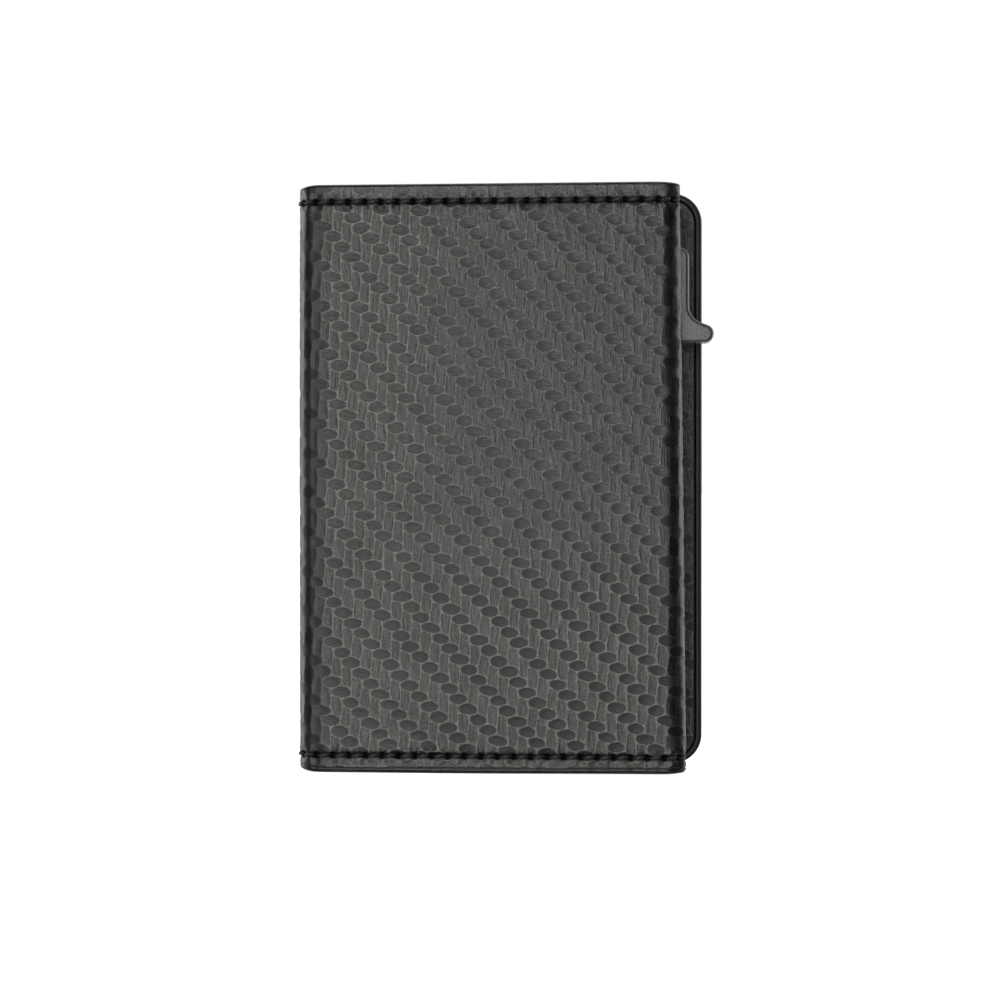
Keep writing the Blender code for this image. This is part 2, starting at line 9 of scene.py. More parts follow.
import bmesh
import bpy
import numpy as np
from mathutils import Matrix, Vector


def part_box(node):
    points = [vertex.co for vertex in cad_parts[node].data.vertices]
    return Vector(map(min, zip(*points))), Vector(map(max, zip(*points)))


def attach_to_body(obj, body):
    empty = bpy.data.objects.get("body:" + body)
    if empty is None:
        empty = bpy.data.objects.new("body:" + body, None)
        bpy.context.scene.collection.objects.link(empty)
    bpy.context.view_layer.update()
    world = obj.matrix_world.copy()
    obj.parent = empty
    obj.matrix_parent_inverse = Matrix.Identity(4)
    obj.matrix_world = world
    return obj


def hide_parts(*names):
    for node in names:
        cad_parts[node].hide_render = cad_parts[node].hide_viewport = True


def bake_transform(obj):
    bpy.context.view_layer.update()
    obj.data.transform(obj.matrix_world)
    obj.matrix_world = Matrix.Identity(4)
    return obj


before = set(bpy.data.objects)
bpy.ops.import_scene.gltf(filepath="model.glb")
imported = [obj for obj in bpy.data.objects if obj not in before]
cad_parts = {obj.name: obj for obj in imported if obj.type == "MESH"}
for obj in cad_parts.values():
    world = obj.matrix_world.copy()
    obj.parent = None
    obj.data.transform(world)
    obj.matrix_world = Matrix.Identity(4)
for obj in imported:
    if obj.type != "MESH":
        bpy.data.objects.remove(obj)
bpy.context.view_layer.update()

# --- places read from the frame ---
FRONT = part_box("front_leather")
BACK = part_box("back_leather")
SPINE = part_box("spine_leather")
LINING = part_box("back_lining")
SPINE_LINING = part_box("spine_lining")
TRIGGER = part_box("trigger")
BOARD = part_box("front_board")
HEIGHT = BACK[1].z - BACK[0].z
LEATHER = BACK[1].y - BACK[0].y
COVER_HALF = (FRONT[1].y - FRONT[0].y) / 2      # half the thickness of the front cover
PANEL_END = BACK[1].x - 0.0002                  # right edge of the back panel

# --- leather sheets ---
SPINE_BEND = 0.0030         # outer radius of the two spine folds
POCKET_WIDTH = 0.0515       # inner layer of the front cover, from the right fold
BACK_CORNER = 0.0052        # corner radius of the back panel
STEP = 0.00033              # grid of the embossed faces
COARSE_STEP = 0.0009        # grid of hidden faces
STITCH_STEP = 0.00017       # grid beside a stitch line
STITCH_BAND = 0.0011        # half width of that finer grid
SPINE_DROP = 0.0004         # the spine is this much shorter at each end
FOLD_DROP = 0.0002          # the right fold is this much shorter at each end
LOW_RIM = 0.0010            # painted rim along the lower edge
HIGH_RIM = 0.0005           # painted rim along the upper edge
SHEAR = 0.0011              # sideways lean of the front cover's right fold, over its height
FOLD_REACH = 0.0034         # the right fold starts to turn this far from its end
FOLD_INSET = 0.0002         # the sewn cover ends this much inside the frame's cover
CROWN_DROP = 0.00022        # the front face falls off this much towards the spine
CROWN_REACH = 0.0018        # over this distance
FOLD_NOTCH = 0.00030        # how deep the thread pulls into the right fold
SPINE_PINCH = 0.25          # share of the pinch that reaches the spine
PINCH = 0.00030             # the sewn margins are this much thinner on each face
PINCH_FADE = (0.0010, 0.0150)   # it fades between these distances from the edges
PANEL_PINCH = (0.002, 0.016)    # and reaches its full depth between these, from the spine's fold
LINING_RIM = 0.0003         # rounded rim of the spine lining
RIM_DROP = 0.00025          # the back panel's sewn rim lies this much lower
RIM_FADE = (0.0016, 0.0050)     # and rises to the panel between these distances from its edge
RIM_GROOVE = 0.00022        # depth of the groove under the rim's thread
RIM_GROOVE_WIDTH = 0.0004

# --- stitches ---
SEAMS = (0.0030, HEIGHT - 0.0030)
STITCH_PITCH = 0.00278
RIM_INSET = 0.0016          # the back panel's seam, from the panel's edge
THREAD_R = 0.00034
RIM_THREAD_R = 0.00022
HOLE_DEPTH = 0.00034        # needle holes
HOLE_R = 0.00045
SEAM_SHADE = 0.00037        # half width of the seam's painted shade along its trough
SEAM_BLUR = 0.0003          # half width of the change from woven field to flat margin
TROUGH_DEPTH = 0.00018      # the seam's trough, between the needle holes
TROUGH_WIDTH = 0.00042
PUCKER = 0.00009            # swelling of the leather beside each stitch
PUCKER_OUT = 0.0009         # how far from the seam it swells
STITCH_GAP = 0.06           # share of the pitch left free at each end of a stitch
RIM_THREAD_SINK = 0.00030   # the rim thread lies this deep in its groove

# --- welts between the sewn layers ---
WELT_INSET = 0.0003         # from the edge of the leather
WELT_WIDTH = 0.0022
WELT_BITE = 0.0001          # how far the filler presses into each leather layer

# --- trigger ---
THUMB_EDGE = 0.00058        # rounding of the trigger's edges
THUMB_FLAT = 0.0002         # narrow ring that keeps the flat sides flat beside the rounding
NECK_HALF = 0.0015          # the neck that reaches into the case: half its width
NECK_LOW = 0.0017           # its ends, from the bottom of the trigger
NECK_HIGH = 0.0127
RIVET_IN = 0.0009           # rivet hole, from the neck's end and the trigger's bottom
RIVET_UP = 0.0067
RIVET_BORE = 0.0008
THUMB_INNER = 0.0035        # where the thumb piece starts, from the end of the neck
THUMB_OUTER = 0.00545       # and where its stem ends
TIP_R = 0.00155             # radii of the foot's tip, the saddle and the stem's top
SADDLE_R = 0.0030
TOP_R = 0.0018
SADDLE_UP = 0.0063          # centre of the saddle's arc, from the trigger's bottom

# --- embossed weave ---
WARP = 0.00166              # spacing of the upright tows
WEFT = 0.00168              # spacing of the level tows
WARP_LEAN = 0.025           # the pattern is printed slightly askew
WEFT_LEAN = 0.051
WEAVE_X = 0.01218           # middle of one oval float on the front face
WEAVE_Z = 0.01842
OVAL_HALF_WIDTH = 0.90      # level floats look like ovals; sizes in tows
OVAL_HALF_HEIGHT = 0.55
OVAL_TIP = 1.6              # powers: pointed at the sides, blunt above and below
OVAL_BACK = 2.5
UPRIGHT_HALF_WIDTH = 0.43   # upright floats are slanted rounded boxes
UPRIGHT_HALF_HEIGHT = 0.97
UPRIGHT_SLANT = 0.25
OVAL_DEPTH = 0.00010        # how deep the floats are pressed in
UPRIGHT_DEPTH = 0.00004
SWAY = 0.045                # unevenness of the tows, in tows
SWAY_WAVES = ((1.31, 0.87, 0.4), (0.53, -1.73, 2.1), (2.31, 1.97, 0.0))
BOB = 0.032
BOB_WAVES = ((0.97, -1.21, 1.7), (1.89, 0.61, 0.9), (-1.41, 2.57, 0.0))


# --- small helpers ---

def smoothstep(value, start, end):
    t = np.clip((np.asarray(value, float) - start) / (end - start), 0.0, 1.0)
    return t * t * (3.0 - 2.0 * t)


def bell(distance, width):
    return np.exp(-(distance / width) ** 2)


def spaced(start, end, step):
    """Evenly spaced values, both ends included."""
    count = max(1, round(abs(end - start) / step))
    return np.linspace(start, end, count + 1)


def repeated(vector, count):
    """The same vector on `count` rows."""
    return np.repeat(np.array([vector]), count, 0)


def tube_faces(index):
    """Quads between neighbouring rings of vertices, and a cap on the first and last ring."""
    following = np.roll(index, -1, axis=1)
    quads = np.stack([index[:-1], following[:-1], following[1:], index[1:]], 2).reshape(-1, 4)
    return quads.tolist() + [index[0, ::-1].tolist(), index[-1].tolist()]


def make_object(name, vertices, faces, materials, face_materials=None, sharp=50.0):
    """Mesh object from arrays, shaded smooth except over real edges."""
    mesh = bpy.data.meshes.new(name)
    mesh.from_pydata(np.asarray(vertices, float), [], faces)
    for item in materials:
        mesh.materials.append(item)
    if face_materials is not None:
        mesh.polygons.foreach_set("material_index", np.asarray(face_materials, np.int32))
    mesh.validate()
    mesh.shade_smooth()
    mesh.set_sharp_from_angle(angle=math.radians(sharp))
    obj = bpy.data.objects.new(name, mesh)
    bpy.context.scene.collection.objects.link(obj)
    return obj


def store(obj, name, *numbers):
    """Keep three numbers for each point of a mesh, for its material to read."""
    layer = obj.data.attributes.new(name, 'FLOAT_VECTOR', 'POINT')
    layer.data.foreach_set("vector", np.stack(numbers, 1).astype(np.float32).ravel())


def apply_modifiers(obj):
    """Replace the mesh by its evaluated one."""
    graph = bpy.context.evaluated_depsgraph_get()
    graph.update()
    mesh = bpy.data.meshes.new_from_object(obj.evaluated_get(graph))
    obj.modifiers.clear()
    obj.data = mesh


# --- weave pattern ---

def waves(p, q, table):
    """Sum of sine waves; a row of the table holds the rates along p and q and a starting angle."""
    return sum(np.sin(a * p + b * q + start) for a, b, start in table)


def weave_place(across, height):
    """Tow numbers of a point: p counts warp tows, q counts weft tows downwards.

    The embossing roller left the tows slightly uneven.
    """
    x = across - WEAVE_X
    down = WEAVE_Z - height
    p = (x + WARP_LEAN * down) / WARP
    q = (down - WEFT_LEAN * x) / WEFT - 0.5
    return p + SWAY * waves(p, q, SWAY_WAVES), q + BOB * waves(p, q, BOB_WAVES)


def oval_measure(p, q):
    """0 in the middle of the nearest oval float, 1 on its outline."""
    best = np.full(np.shape(p), 9.0)
    for offset in (-1.0, 0.0, 1.0):
        row = np.floor(q) + offset
        a = (p - row + 1.0) % 4.0 - 2.0
        b = q - row - 0.5
        e = (np.abs(a) / OVAL_HALF_WIDTH) ** OVAL_TIP + (np.abs(b) / OVAL_HALF_HEIGHT) ** OVAL_BACK
        best = np.minimum(best, e)
    return best


def upright_measure(p, q):
    """0 in the middle of the upright float, 1 on its outline."""
    column = np.floor(p)
    u = p - column - 0.5
    v = (q - column) % 4.0 - 2.0
    return ((np.abs(u) / UPRIGHT_HALF_WIDTH) ** 4
            + (np.abs(v - UPRIGHT_SLANT * u) / UPRIGHT_HALF_HEIGHT) ** 6)


def weave_relief(p, q):
    """Embossed height: oval floats are dishes, upright floats shallow troughs."""
    oval = np.clip(1.0 - oval_measure(p, q), 0.0, 1.0)
    upright = np.clip(1.0 - upright_measure(p, q), 0.0, 1.0)
    return -OVAL_DEPTH * oval - UPRIGHT_DEPTH * upright


# --- sheet paths ---

def straight(start, end, step, side=1.0):
    """Stations along a line; `side` tells on which hand the outer face lies."""
    start, end = np.array(start), np.array(end)
    length = np.linalg.norm(end - start)
    t = spaced(0.0, length, step)[:, None] / length
    points = start + (end - start) * t
    heading = (end - start) / length
    normal = np.array([heading[1], -heading[0]]) * side
    return points, repeated(normal, len(points))


def bend(centre, radius, first, last, step):
    """Stations round an arc, angles in degrees; the outer face looks outwards."""
    turn = math.radians(abs(last - first)) * radius
    angles = np.radians(np.linspace(first, last, max(2, round(turn / step)) + 1))
    normal = np.stack([np.cos(angles), np.sin(angles)], 1)
    return np.array(centre) + radius * normal, normal


def round_off(centre, across, deep, step):
    """Stations round a half ellipse that opens to -X, from its near to its far end."""
    turn = np.linspace(0.0, math.pi, 400)
    points = np.array(centre) + np.stack([across * np.sin(turn), -deep * np.cos(turn)], 1)
    length = np.concatenate([[0.0], np.cumsum(np.linalg.norm(np.diff(points, axis=0), axis=1))])
    turn = np.interp(spaced(0.0, length[-1], step), length, turn)
    points = np.array(centre) + np.stack([across * np.sin(turn), -deep * np.cos(turn)], 1)
    normals = np.stack([np.sin(turn) / across, -np.cos(turn) / deep], 1)
    return points, normals / np.linalg.norm(normals, axis=1)[:, None]


def track(*parts):
    """Join path parts into stations: places, outward normals and lengths."""
    points = np.concatenate([parts[0][0]] + [p[0][1:] for p in parts[1:]])
    normals = np.concatenate([parts[0][1]] + [p[1][1:] for p in parts[1:]])
    length = np.concatenate([[0.0], np.cumsum(np.linalg.norm(np.diff(points, axis=0), axis=1))])
    return points, normals, length


# --- closed shells ---

def shell(name, path, low, high, rows, raised, rim, rim_scale, thickness, materials, flip=False,
          weave=None, reshape=None, seam_shading=None, folds=(), pressed=None):
    """Closed sheet with a fine outer face, a rounded rim and a ruled inner face.

    Stations run along `path`; `low` and `high` bound the outer face at each
    station and `rows` runs from 0 to 1 between them.  `raised(z)` gives the
    height of the outer face.  `rim` lists (outwards, depth) steps from the
    outer face's border to the inner face, as shares of `rim_scale(up)` and
    of the thickness.  Materials are those of the face, rim and inner face.
    `folds` lists the folds that get painted shade, as (place, reach) along the path.
    """
    points, normals, length = path
    columns, count = len(points) - 1, len(rows) - 1
    z = low[:, None] + (high - low)[:, None] * rows[None]
    lift = raised(z)
    x = points[:, :1] + normals[:, :1] * lift
    y = points[:, 1:] + normals[:, 1:] * lift
    grid = np.stack([x, y, z], 2)
    index = np.arange(grid.shape[0] * grid.shape[1]).reshape(grid.shape[:2])

    chain = np.concatenate([index[:, 0], index[-1, 1:-1], index[::-1, -1]])
    station = np.concatenate([np.arange(columns + 1), np.full(count - 1, columns),
                              np.arange(columns, -1, -1)])
    tangent = np.gradient(points, axis=0)
    tangent /= np.linalg.norm(tangent, axis=1)[:, None]
    border = grid.reshape(-1, 3)[chain]
    flat = border - np.concatenate([normals[station] * lift.reshape(-1)[chain][:, None],
                                    np.zeros((len(chain), 1))], 1)
    run = np.maximum(np.gradient(length), 1e-9)
    lean_low, lean_high = np.gradient(low) / run, np.gradient(high) / run
    side = np.concatenate([lean_low, np.ones(count - 1), -lean_high[::-1]])
    up = np.concatenate([-np.ones(columns + 1), np.zeros(count - 1), np.ones(columns + 1)])
    norm = np.hypot(side, up)
    side, up = side / norm, up / norm
    scale = rim_scale(up)

    vertices = [grid.reshape(-1, 3)]
    corners = [index[:-1, :-1], index[1:, :-1], index[1:, 1:], index[:-1, 1:]]
    faces = np.stack([corner.ravel() for corner in corners], 1).tolist()
    kinds = [0] * len(faces)

    fade = lift.reshape(-1)[chain]
    rings = [chain]
    start = grid.size // 3
    for out, depth in rim:
        away = out * scale
        ring = flat.copy()
        ring[:, 0] += tangent[station, 0] * side * away
        ring[:, 1] += tangent[station, 1] * side * away
        ring[:, 2] += up * away
        inwards = depth * thickness - fade * (1.0 - depth)
        ring[:, 0] -= normals[station, 0] * inwards
        ring[:, 1] -= normals[station, 1] * inwards
        vertices.append(ring)
        rings.append(np.arange(start, start + len(chain)))
        start += len(chain)
    for inner, outer in zip(rings[:-1], rings[1:]):
        faces += np.stack([outer[:-1], outer[1:], inner[1:], inner[:-1]], 1).tolist()
        kinds += [1] * (len(chain) - 1)

    last = rings[-1]
    total = len(last)
    for i in range(columns - 1):
        faces.append([last[i], last[total - 1 - i], last[total - 2 - i], last[i + 1]])
        kinds.append(2)
    i = columns - 1
    faces.append([last[i]] + last[columns + 1:total - i][::-1].tolist() + [last[columns]])
    kinds.append(2)
    cap = index[0, :].tolist() + [r[-1] for r in rings[1:]] + [r[0] for r in rings[:0:-1]]
    faces.append(cap)
    kinds.append(1)
    if flip:
        faces = [f[::-1] for f in faces]
    faces = [[int(v) for v in f] for f in faces]
    vertices = np.concatenate(vertices)
    heights = vertices[:, 2].copy()
    if reshape is not None:
        vertices = reshape(vertices)
    obj = make_object(name, vertices, faces, materials, kinds)

    if weave is not None:
        every = np.concatenate([np.repeat(np.arange(columns + 1), len(rows))] + [station] * len(rim))
        p, q = weave_place(weave[every], heights)
        # painted shade of the seams, stored beside the tow numbers
        shade = seam_shading(length[every], vertices) if seam_shading else np.zeros(len(p))
        store(obj, "weave_place", p, q, shade)
        # painted shade over each fold, strongest along its middle
        fold_shade = np.zeros(len(p))
        for centre, reach in folds:
            away = np.abs(length[every] - centre)
            fold_shade = np.maximum(fold_shade, 1.0 - smoothstep(away, 0.5 * reach, reach))
        flat = pressed(heights) if pressed else np.zeros(len(p))
        store(obj, "fold_shade_and_margin", fold_shade, flat, np.zeros(len(p)))
    return obj


def even_rim(width):
    """Rim of the same width along every edge, for shell."""
    return lambda up: np.full(len(up), width)


def rows_between(low, high, marks):
    """Row places from 0 to 1, finer beside each stitch height in `marks`."""
    stops = [low]
    steps = []
    for mark in marks:
        stops += [max(low, mark - STITCH_BAND), min(high, mark + STITCH_BAND)]
        steps += [STEP, STITCH_STEP]
    stops.append(high)
    steps.append(STEP)
    rows = [spaced(a, b, s) for a, b, s in zip(stops[:-1], stops[1:], steps) if b - a > 1e-6]
    z = np.concatenate([rows[0]] + [r[1:] for r in rows[1:]])
    return (z - low) / (high - low)


ROUND_RIM = [(0.38, 0.04), (0.70, 0.13), (0.92, 0.30), (1.0, 0.50), (0.92, 0.72), (0.70, 0.90),
             (0.40, 1.0)]
GROOVED_RIM = [(0.05, 0.08), (0.11, 0.15), (0.18, 0.13), (0.25, 0.04), (0.34, 0.0), (0.46, 0.03),
               (0.64, 0.11), (0.80, 0.22), (0.92, 0.36), (1.0, 0.55), (0.94, 0.75), (0.74, 0.90),
               (0.42, 1.0)]


def stitch_places(start, end):
    """Hole positions along a stitch line."""
    count = max(1, round((end - start) / STITCH_PITCH))
    return np.linspace(start, end, count + 1)


def stitch_dents(length, z, holes, height):
    """Trough and needle holes that a stitch line pulls into the leather."""
    dz = z - height
    nearest = np.min(np.abs(length[:, None] - holes[None]), axis=1)[:, None]
    trough = -TROUGH_DEPTH * bell(dz, TROUGH_WIDTH)
    hole = -HOLE_DEPTH * np.exp(-(nearest ** 2 + dz ** 2) / HOLE_R ** 2)
    wave = np.cos(2 * math.pi * nearest / STITCH_PITCH)
    pucker = PUCKER * wave * bell(np.abs(dz) - PUCKER_OUT, 0.0005)
    return trough + hole - pucker


def sewn_margin(z):
    """1 in the strips between the seams and the edges, where the weave is pressed flat."""
    return 1.0 - smoothstep(np.minimum(z, HEIGHT - z), SEAMS[0] - SEAM_BLUR, SEAMS[0] + SEAM_BLUR)


def seam_shade(length, z, holes):
    """Painted shade: 1 in the needle holes and along the seams' troughs, 0 elsewhere."""
    nearest = np.min(np.abs(length[:, None] - holes[None]), axis=1)
    shade = np.zeros(len(z))
    for mark in SEAMS:
        dz = np.abs(z - mark)
        shade = np.maximum(shade, 0.9 * smoothstep(dz, 1.5 * SEAM_SHADE, 0.8 * SEAM_SHADE))
        shade = np.maximum(shade, smoothstep(np.hypot(0.85 * nearest, dz), 0.00080, 0.00055))
    return shade


# --- node helpers ---

class Nodes:
    """A node tree, with arithmetic written as method calls."""

    def __init__(self, owner):
        owner.use_nodes = True
        self.tree = owner.node_tree

    def node(self, kind, **settings):
        made = self.tree.nodes.new(kind)
        for key, value in settings.items():
            setattr(made, key, value)
        return made

    def feed(self, socket, value):
        if isinstance(value, bpy.types.NodeSocket):
            self.tree.links.new(value, socket)
        elif value is not None:
            socket.default_value = value

    def math(self, operation, *values):
        made = self.node("ShaderNodeMath", operation=operation)
        for socket, value in zip(made.inputs, values):
            self.feed(socket, value)
        return made.outputs[0]

    def add(self, a, b):
        return self.math('ADD', a, b)

    def sub(self, a, b):
        return self.math('SUBTRACT', a, b)

    def mul(self, a, b):
        return self.math('MULTIPLY', a, b)

    def stored(self, name):
        """The three numbers stored under a name at each point of the mesh."""
        split = self.node("ShaderNodeSeparateXYZ")
        self.feed(split.inputs[0], self.node("ShaderNodeAttribute", attribute_name=name).outputs["Vector"])
        return split.outputs

    def step(self, value, low, high, start=0.0, end=1.0):
        """Smooth ramp of a value between two limits."""
        made = self.node("ShaderNodeMapRange", interpolation_type='SMOOTHSTEP')
        for socket, item in zip(made.inputs, (value, low, high, start, end)):
            self.feed(socket, item)
        return made.outputs[0]

    def mix(self, share, a, b):
        """Blend of two colours."""
        made = self.node("ShaderNodeMix", data_type='RGBA')
        self.feed(made.inputs[0], share)
        self.feed(made.inputs[6], (*a, 1.0) if isinstance(a, tuple) else a)
        self.feed(made.inputs[7], (*b, 1.0) if isinstance(b, tuple) else b)
        return made.outputs[2]

    def choose(self, share, a, b):
        """b where share is 1, a where it is 0."""
        return self.add(a, self.mul(share, self.sub(b, a)))

    def power(self, value, size, exponent):
        return self.math('POWER', self.mul(self.math('ABSOLUTE', value), 1.0 / size), exponent)

    def noise(self, scale, detail=3.0, roughness=0.5, stretch=(1.0, 1.0, 1.0), vector=None):
        """Noise over the object's own coordinates, one unit per metre."""
        if vector is None:
            vector = self.node("ShaderNodeTexCoord").outputs["Object"]
        mapping = self.node("ShaderNodeMapping")
        self.feed(mapping.inputs["Vector"], vector)
        mapping.inputs["Scale"].default_value = stretch
        made = self.node("ShaderNodeTexNoise")
        self.feed(made.inputs["Vector"], mapping.outputs[0])
        made.inputs["Scale"].default_value = scale
        made.inputs["Detail"].default_value = detail
        made.inputs["Roughness"].default_value = roughness
        return made.outputs[0]


class Shader(Nodes):
    """The node tree of a new material."""

    def __init__(self, name):
        self.material = bpy.data.materials.new(name)
        super().__init__(self.material)
        self.surface = self.tree.nodes["Principled BSDF"]

    def bump(self, height, distance):
        made = self.node("ShaderNodeBump")
        self.feed(made.inputs["Height"], height)
        made.inputs["Distance"].default_value = distance
        self.tree.links.new(made.outputs[0], self.surface.inputs["Normal"])

    def finish(self, color=None, roughness=None, metallic=None, **inputs):
        self.feed(self.surface.inputs["Base Color"],
                  (*color, 1.0) if isinstance(color, tuple) else color)
        self.feed(self.surface.inputs["Roughness"], roughness)
        self.feed(self.surface.inputs["Metallic"], metallic)
        for key, value in inputs.items():
            self.feed(self.surface.inputs[key], value)
        return self.material


# --- materials ---

def weave_nodes(s, p, q):
    """oval_measure and upright_measure as nodes, with the place (a, b) in the nearest oval float."""
    row, column = s.math('FLOOR', q), s.math('FLOOR', p)
    oval = None
    for offset in (-1.0, 0.0, 1.0):
        this_row = s.add(row, offset)
        this_a = s.sub(s.math('FLOORED_MODULO', s.add(s.sub(p, this_row), 1.0), 4.0), 2.0)
        this_b = s.sub(s.sub(q, this_row), 0.5)
        measure = s.add(s.power(this_a, OVAL_HALF_WIDTH, OVAL_TIP),
                        s.power(this_b, OVAL_HALF_HEIGHT, OVAL_BACK))
        if oval is None:
            oval, a, b = measure, this_a, this_b
        else:
            nearer = s.math('LESS_THAN', measure, oval)
            a, b = s.choose(nearer, a, this_a), s.choose(nearer, b, this_b)
            oval = s.math('MINIMUM', oval, measure)
    u = s.sub(s.sub(p, column), 0.5)
    v = s.sub(s.math('FLOORED_MODULO', s.sub(q, column), 4.0), 2.0)
    upright = s.add(s.power(u, UPRIGHT_HALF_WIDTH, 4.0),
                    s.power(s.sub(v, s.mul(u, UPRIGHT_SLANT)), UPRIGHT_HALF_HEIGHT, 6.0))
    return oval, upright, a, b


def carbon_leather(name="carbon_leather", tone=1.0):
    """Black leather with a twill pressed into it; painted highlights make the lines between floats pale,
    and painted shade darkens the ovals, folds and seams. A tone below 1 gives a darker copy that stands for
    shade.
    """
    s = Shader(name)
    place = s.node("ShaderNodeAttribute", attribute_name="weave_place").outputs["Vector"]
    p, q, painted_seam_shade = s.stored("weave_place")
    fold, margin, _ = s.stored("fold_shade_and_margin")
    oval, upright, a, b = weave_nodes(s, p, q)

    # floats and the lines between them; their painted highlights and shade are strongest low down and at
    # the left
    in_oval = s.step(oval, 1.10, 0.84)
    in_upright = s.mul(s.step(upright, 1.30, 0.62), s.sub(1.0, in_oval))
    line = s.sub(s.sub(1.0, in_oval), in_upright)
    lower = s.step(q, -24.0, -2.0)
    left = s.step(p, -9.0, -21.0)
    either = s.math('MAXIMUM', lower, left)
    left_side = s.step(a, 0.45, -0.45)
    # painted highlight on the lines, and a painted highlight arc on the upper left of each oval; less in
    # the sewn margins
    line_highlight = s.mul(line, s.add(s.mul(either, 0.62), 0.30))
    arc_highlight = s.mul(s.step(oval, 0.80, 1.05), s.step(oval, 1.75, 1.25))
    arc_highlight = s.mul(arc_highlight, s.step(s.add(a, b), 0.1, -0.5))
    line_highlight = s.math('MAXIMUM', line_highlight, s.mul(arc_highlight, 0.62))
    line_highlight = s.mul(line_highlight, s.sub(1.0, s.mul(margin, 0.45)))
    groove = s.mul(s.step(s.math('ABSOLUTE', s.add(a, 1.04)), 0.13, 0.04),
                   s.step(s.math('ABSOLUTE', b), 0.95, 0.55))
    groove = s.mul(groove, s.sub(1.0, either))
    # painted shade in the ovals: over the whole oval low down, elsewhere on its left side; less at the left
    # and in the margins
    oval_shade = s.mul(in_oval, s.choose(lower, s.add(s.mul(left_side, 0.60), 0.04), 1.0))
    oval_shade = s.mul(oval_shade, s.sub(1.0, s.math('MAXIMUM', s.mul(left, 0.35), s.mul(margin, 0.70))))

    # grain: fibres run along each tow
    patch = s.noise(120.0, 3.0)
    fine = s.noise(2900.0, 2.0, 0.6)
    upright_fibres = s.noise(1.0, 1.0, 0.5, (7.0, 0.45, 1.0), place)
    level_fibres = s.noise(1.0, 1.0, 0.5, (0.9, 6.0, 1.0), place)
    grain = s.choose(in_oval, upright_fibres, level_fibres)
    streak = s.mul(s.step(grain, 0.60, 0.40), s.sub(1.0, s.mul(line, 0.7)))
    speck = s.step(fine, 0.58, 0.40)

    def layer(share, under, *color):
        return s.mix(share, under, tuple(part * tone for part in color))

    # painted shade in the ovals
    color = layer(oval_shade, tuple(part * tone for part in (0.024, 0.0235, 0.023)), 0.002, 0.002, 0.0022)
    color = layer(s.mul(streak, 0.85), color, 0.002, 0.002, 0.002)
    color = layer(s.step(patch, 0.35, 0.7, 0.0, 0.30), color, 0.028, 0.027, 0.026)
    # painted highlight on the lines between floats
    color = layer(line_highlight, color, 0.135, 0.126, 0.113)
    color = layer(s.mul(margin, 0.45), color, 0.085, 0.080, 0.073)
    color = layer(s.mul(speck, 0.55), color, 0.004, 0.004, 0.004)
    # painted shade over the folds
    color = layer(s.mul(fold, 0.9), color, 0.0025, 0.0025, 0.0026)
    # painted shade in the needle holes and the seams' troughs
    color = s.mix(painted_seam_shade, color, (0.0015, 0.0015, 0.0015))

    rough = s.add(s.mul(in_oval, 0.06), s.step(patch, 0.3, 0.7, 0.32, 0.38))
    rough = s.add(rough, s.sub(s.mul(painted_seam_shade, 0.35), s.mul(s.mul(fold, s.sub(1.0, left)), 0.10)))
    height = s.add(s.add(s.mul(line, 0.45), s.mul(grain, 0.9)), s.mul(fine, 0.45))
    s.bump(s.mul(height, s.sub(1.0, s.mul(fold, 0.6))), 0.00004)

    # the darkest parts also shine less
    dull = s.math('MAXIMUM', s.mul(oval_shade, 0.36), s.mul(groove, 0.75))
    dull = s.math('MAXIMUM', dull, s.add(s.mul(streak, 0.16), s.mul(speck, 0.22)))
    dull = s.math('MAXIMUM', dull, s.mul(s.mul(fold, left), 0.22))
    dull = s.math('MAXIMUM', dull, s.mul(painted_seam_shade, 0.9))
    gloss = s.mul(s.sub(1.0, dull), 0.5 * tone ** 0.5)
    return s.finish(color, rough, **{"Specular IOR Level": gloss})


def plain_leather(name, color, light, scale=900.0, rough=0.5, relief=0.00006, gloss=0.5):
    """Smooth leather with a fine pebble grain."""
    s = Shader(name)
    cells = s.node("ShaderNodeTexVoronoi")
    s.feed(cells.inputs["Vector"], s.node("ShaderNodeTexCoord").outputs["Object"])
    cells.inputs["Scale"].default_value = scale
    patch = s.noise(160.0, 4.0)
    fine = s.noise(3000.0, 3.0)
    tone = s.mix(s.step(patch, 0.3, 0.7), color, light)
    s.bump(s.add(s.mul(cells.outputs["Distance"], 0.8), s.mul(fine, 0.4)), relief)
    spread = s.step(fine, 0.3, 0.7, rough - 0.06, rough + 0.06)
    return s.finish(tone, spread, **{"Specular IOR Level": gloss})


def edge_paint():
    """Brushed-on edge paint over the cut leather."""
    s = Shader("edge_paint")
    streak = s.noise(500.0, 3.0, 0.5, (1.0, 1.0, 3.0))
    tone = s.mix(s.step(streak, 0.3, 0.7), (0.003, 0.003, 0.004), (0.009, 0.009, 0.011))
    s.bump(streak, 0.00005)
    return s.finish(tone, s.step(streak, 0.3, 0.7, 0.24, 0.36), **{"Specular IOR Level": 0.4})


def thread_material():
    """Waxed polyester thread."""
    s = Shader("thread")
    fuzz = s.noise(5200.0, 2.0, 0.6)
    tone = s.mix(s.step(fuzz, 0.35, 0.7), (0.003, 0.003, 0.003), (0.018, 0.018, 0.018))
    s.bump(fuzz, 0.00003)
    return s.finish(tone, 0.44, **{"Specular IOR Level": 0.34})


def moulded_plastic(name, color, light, rough=0.42):
    """Moulded plastic with a fine spark-eroded texture."""
    s = Shader(name)
    grain = s.noise(4200.0, 2.0, 0.55)
    patch = s.noise(220.0, 3.0)
    tone = s.mix(s.step(patch, 0.3, 0.7), color, light)
    s.bump(grain, 0.00003)
    return s.finish(tone, s.step(grain, 0.3, 0.7, rough - 0.07, rough + 0.07))


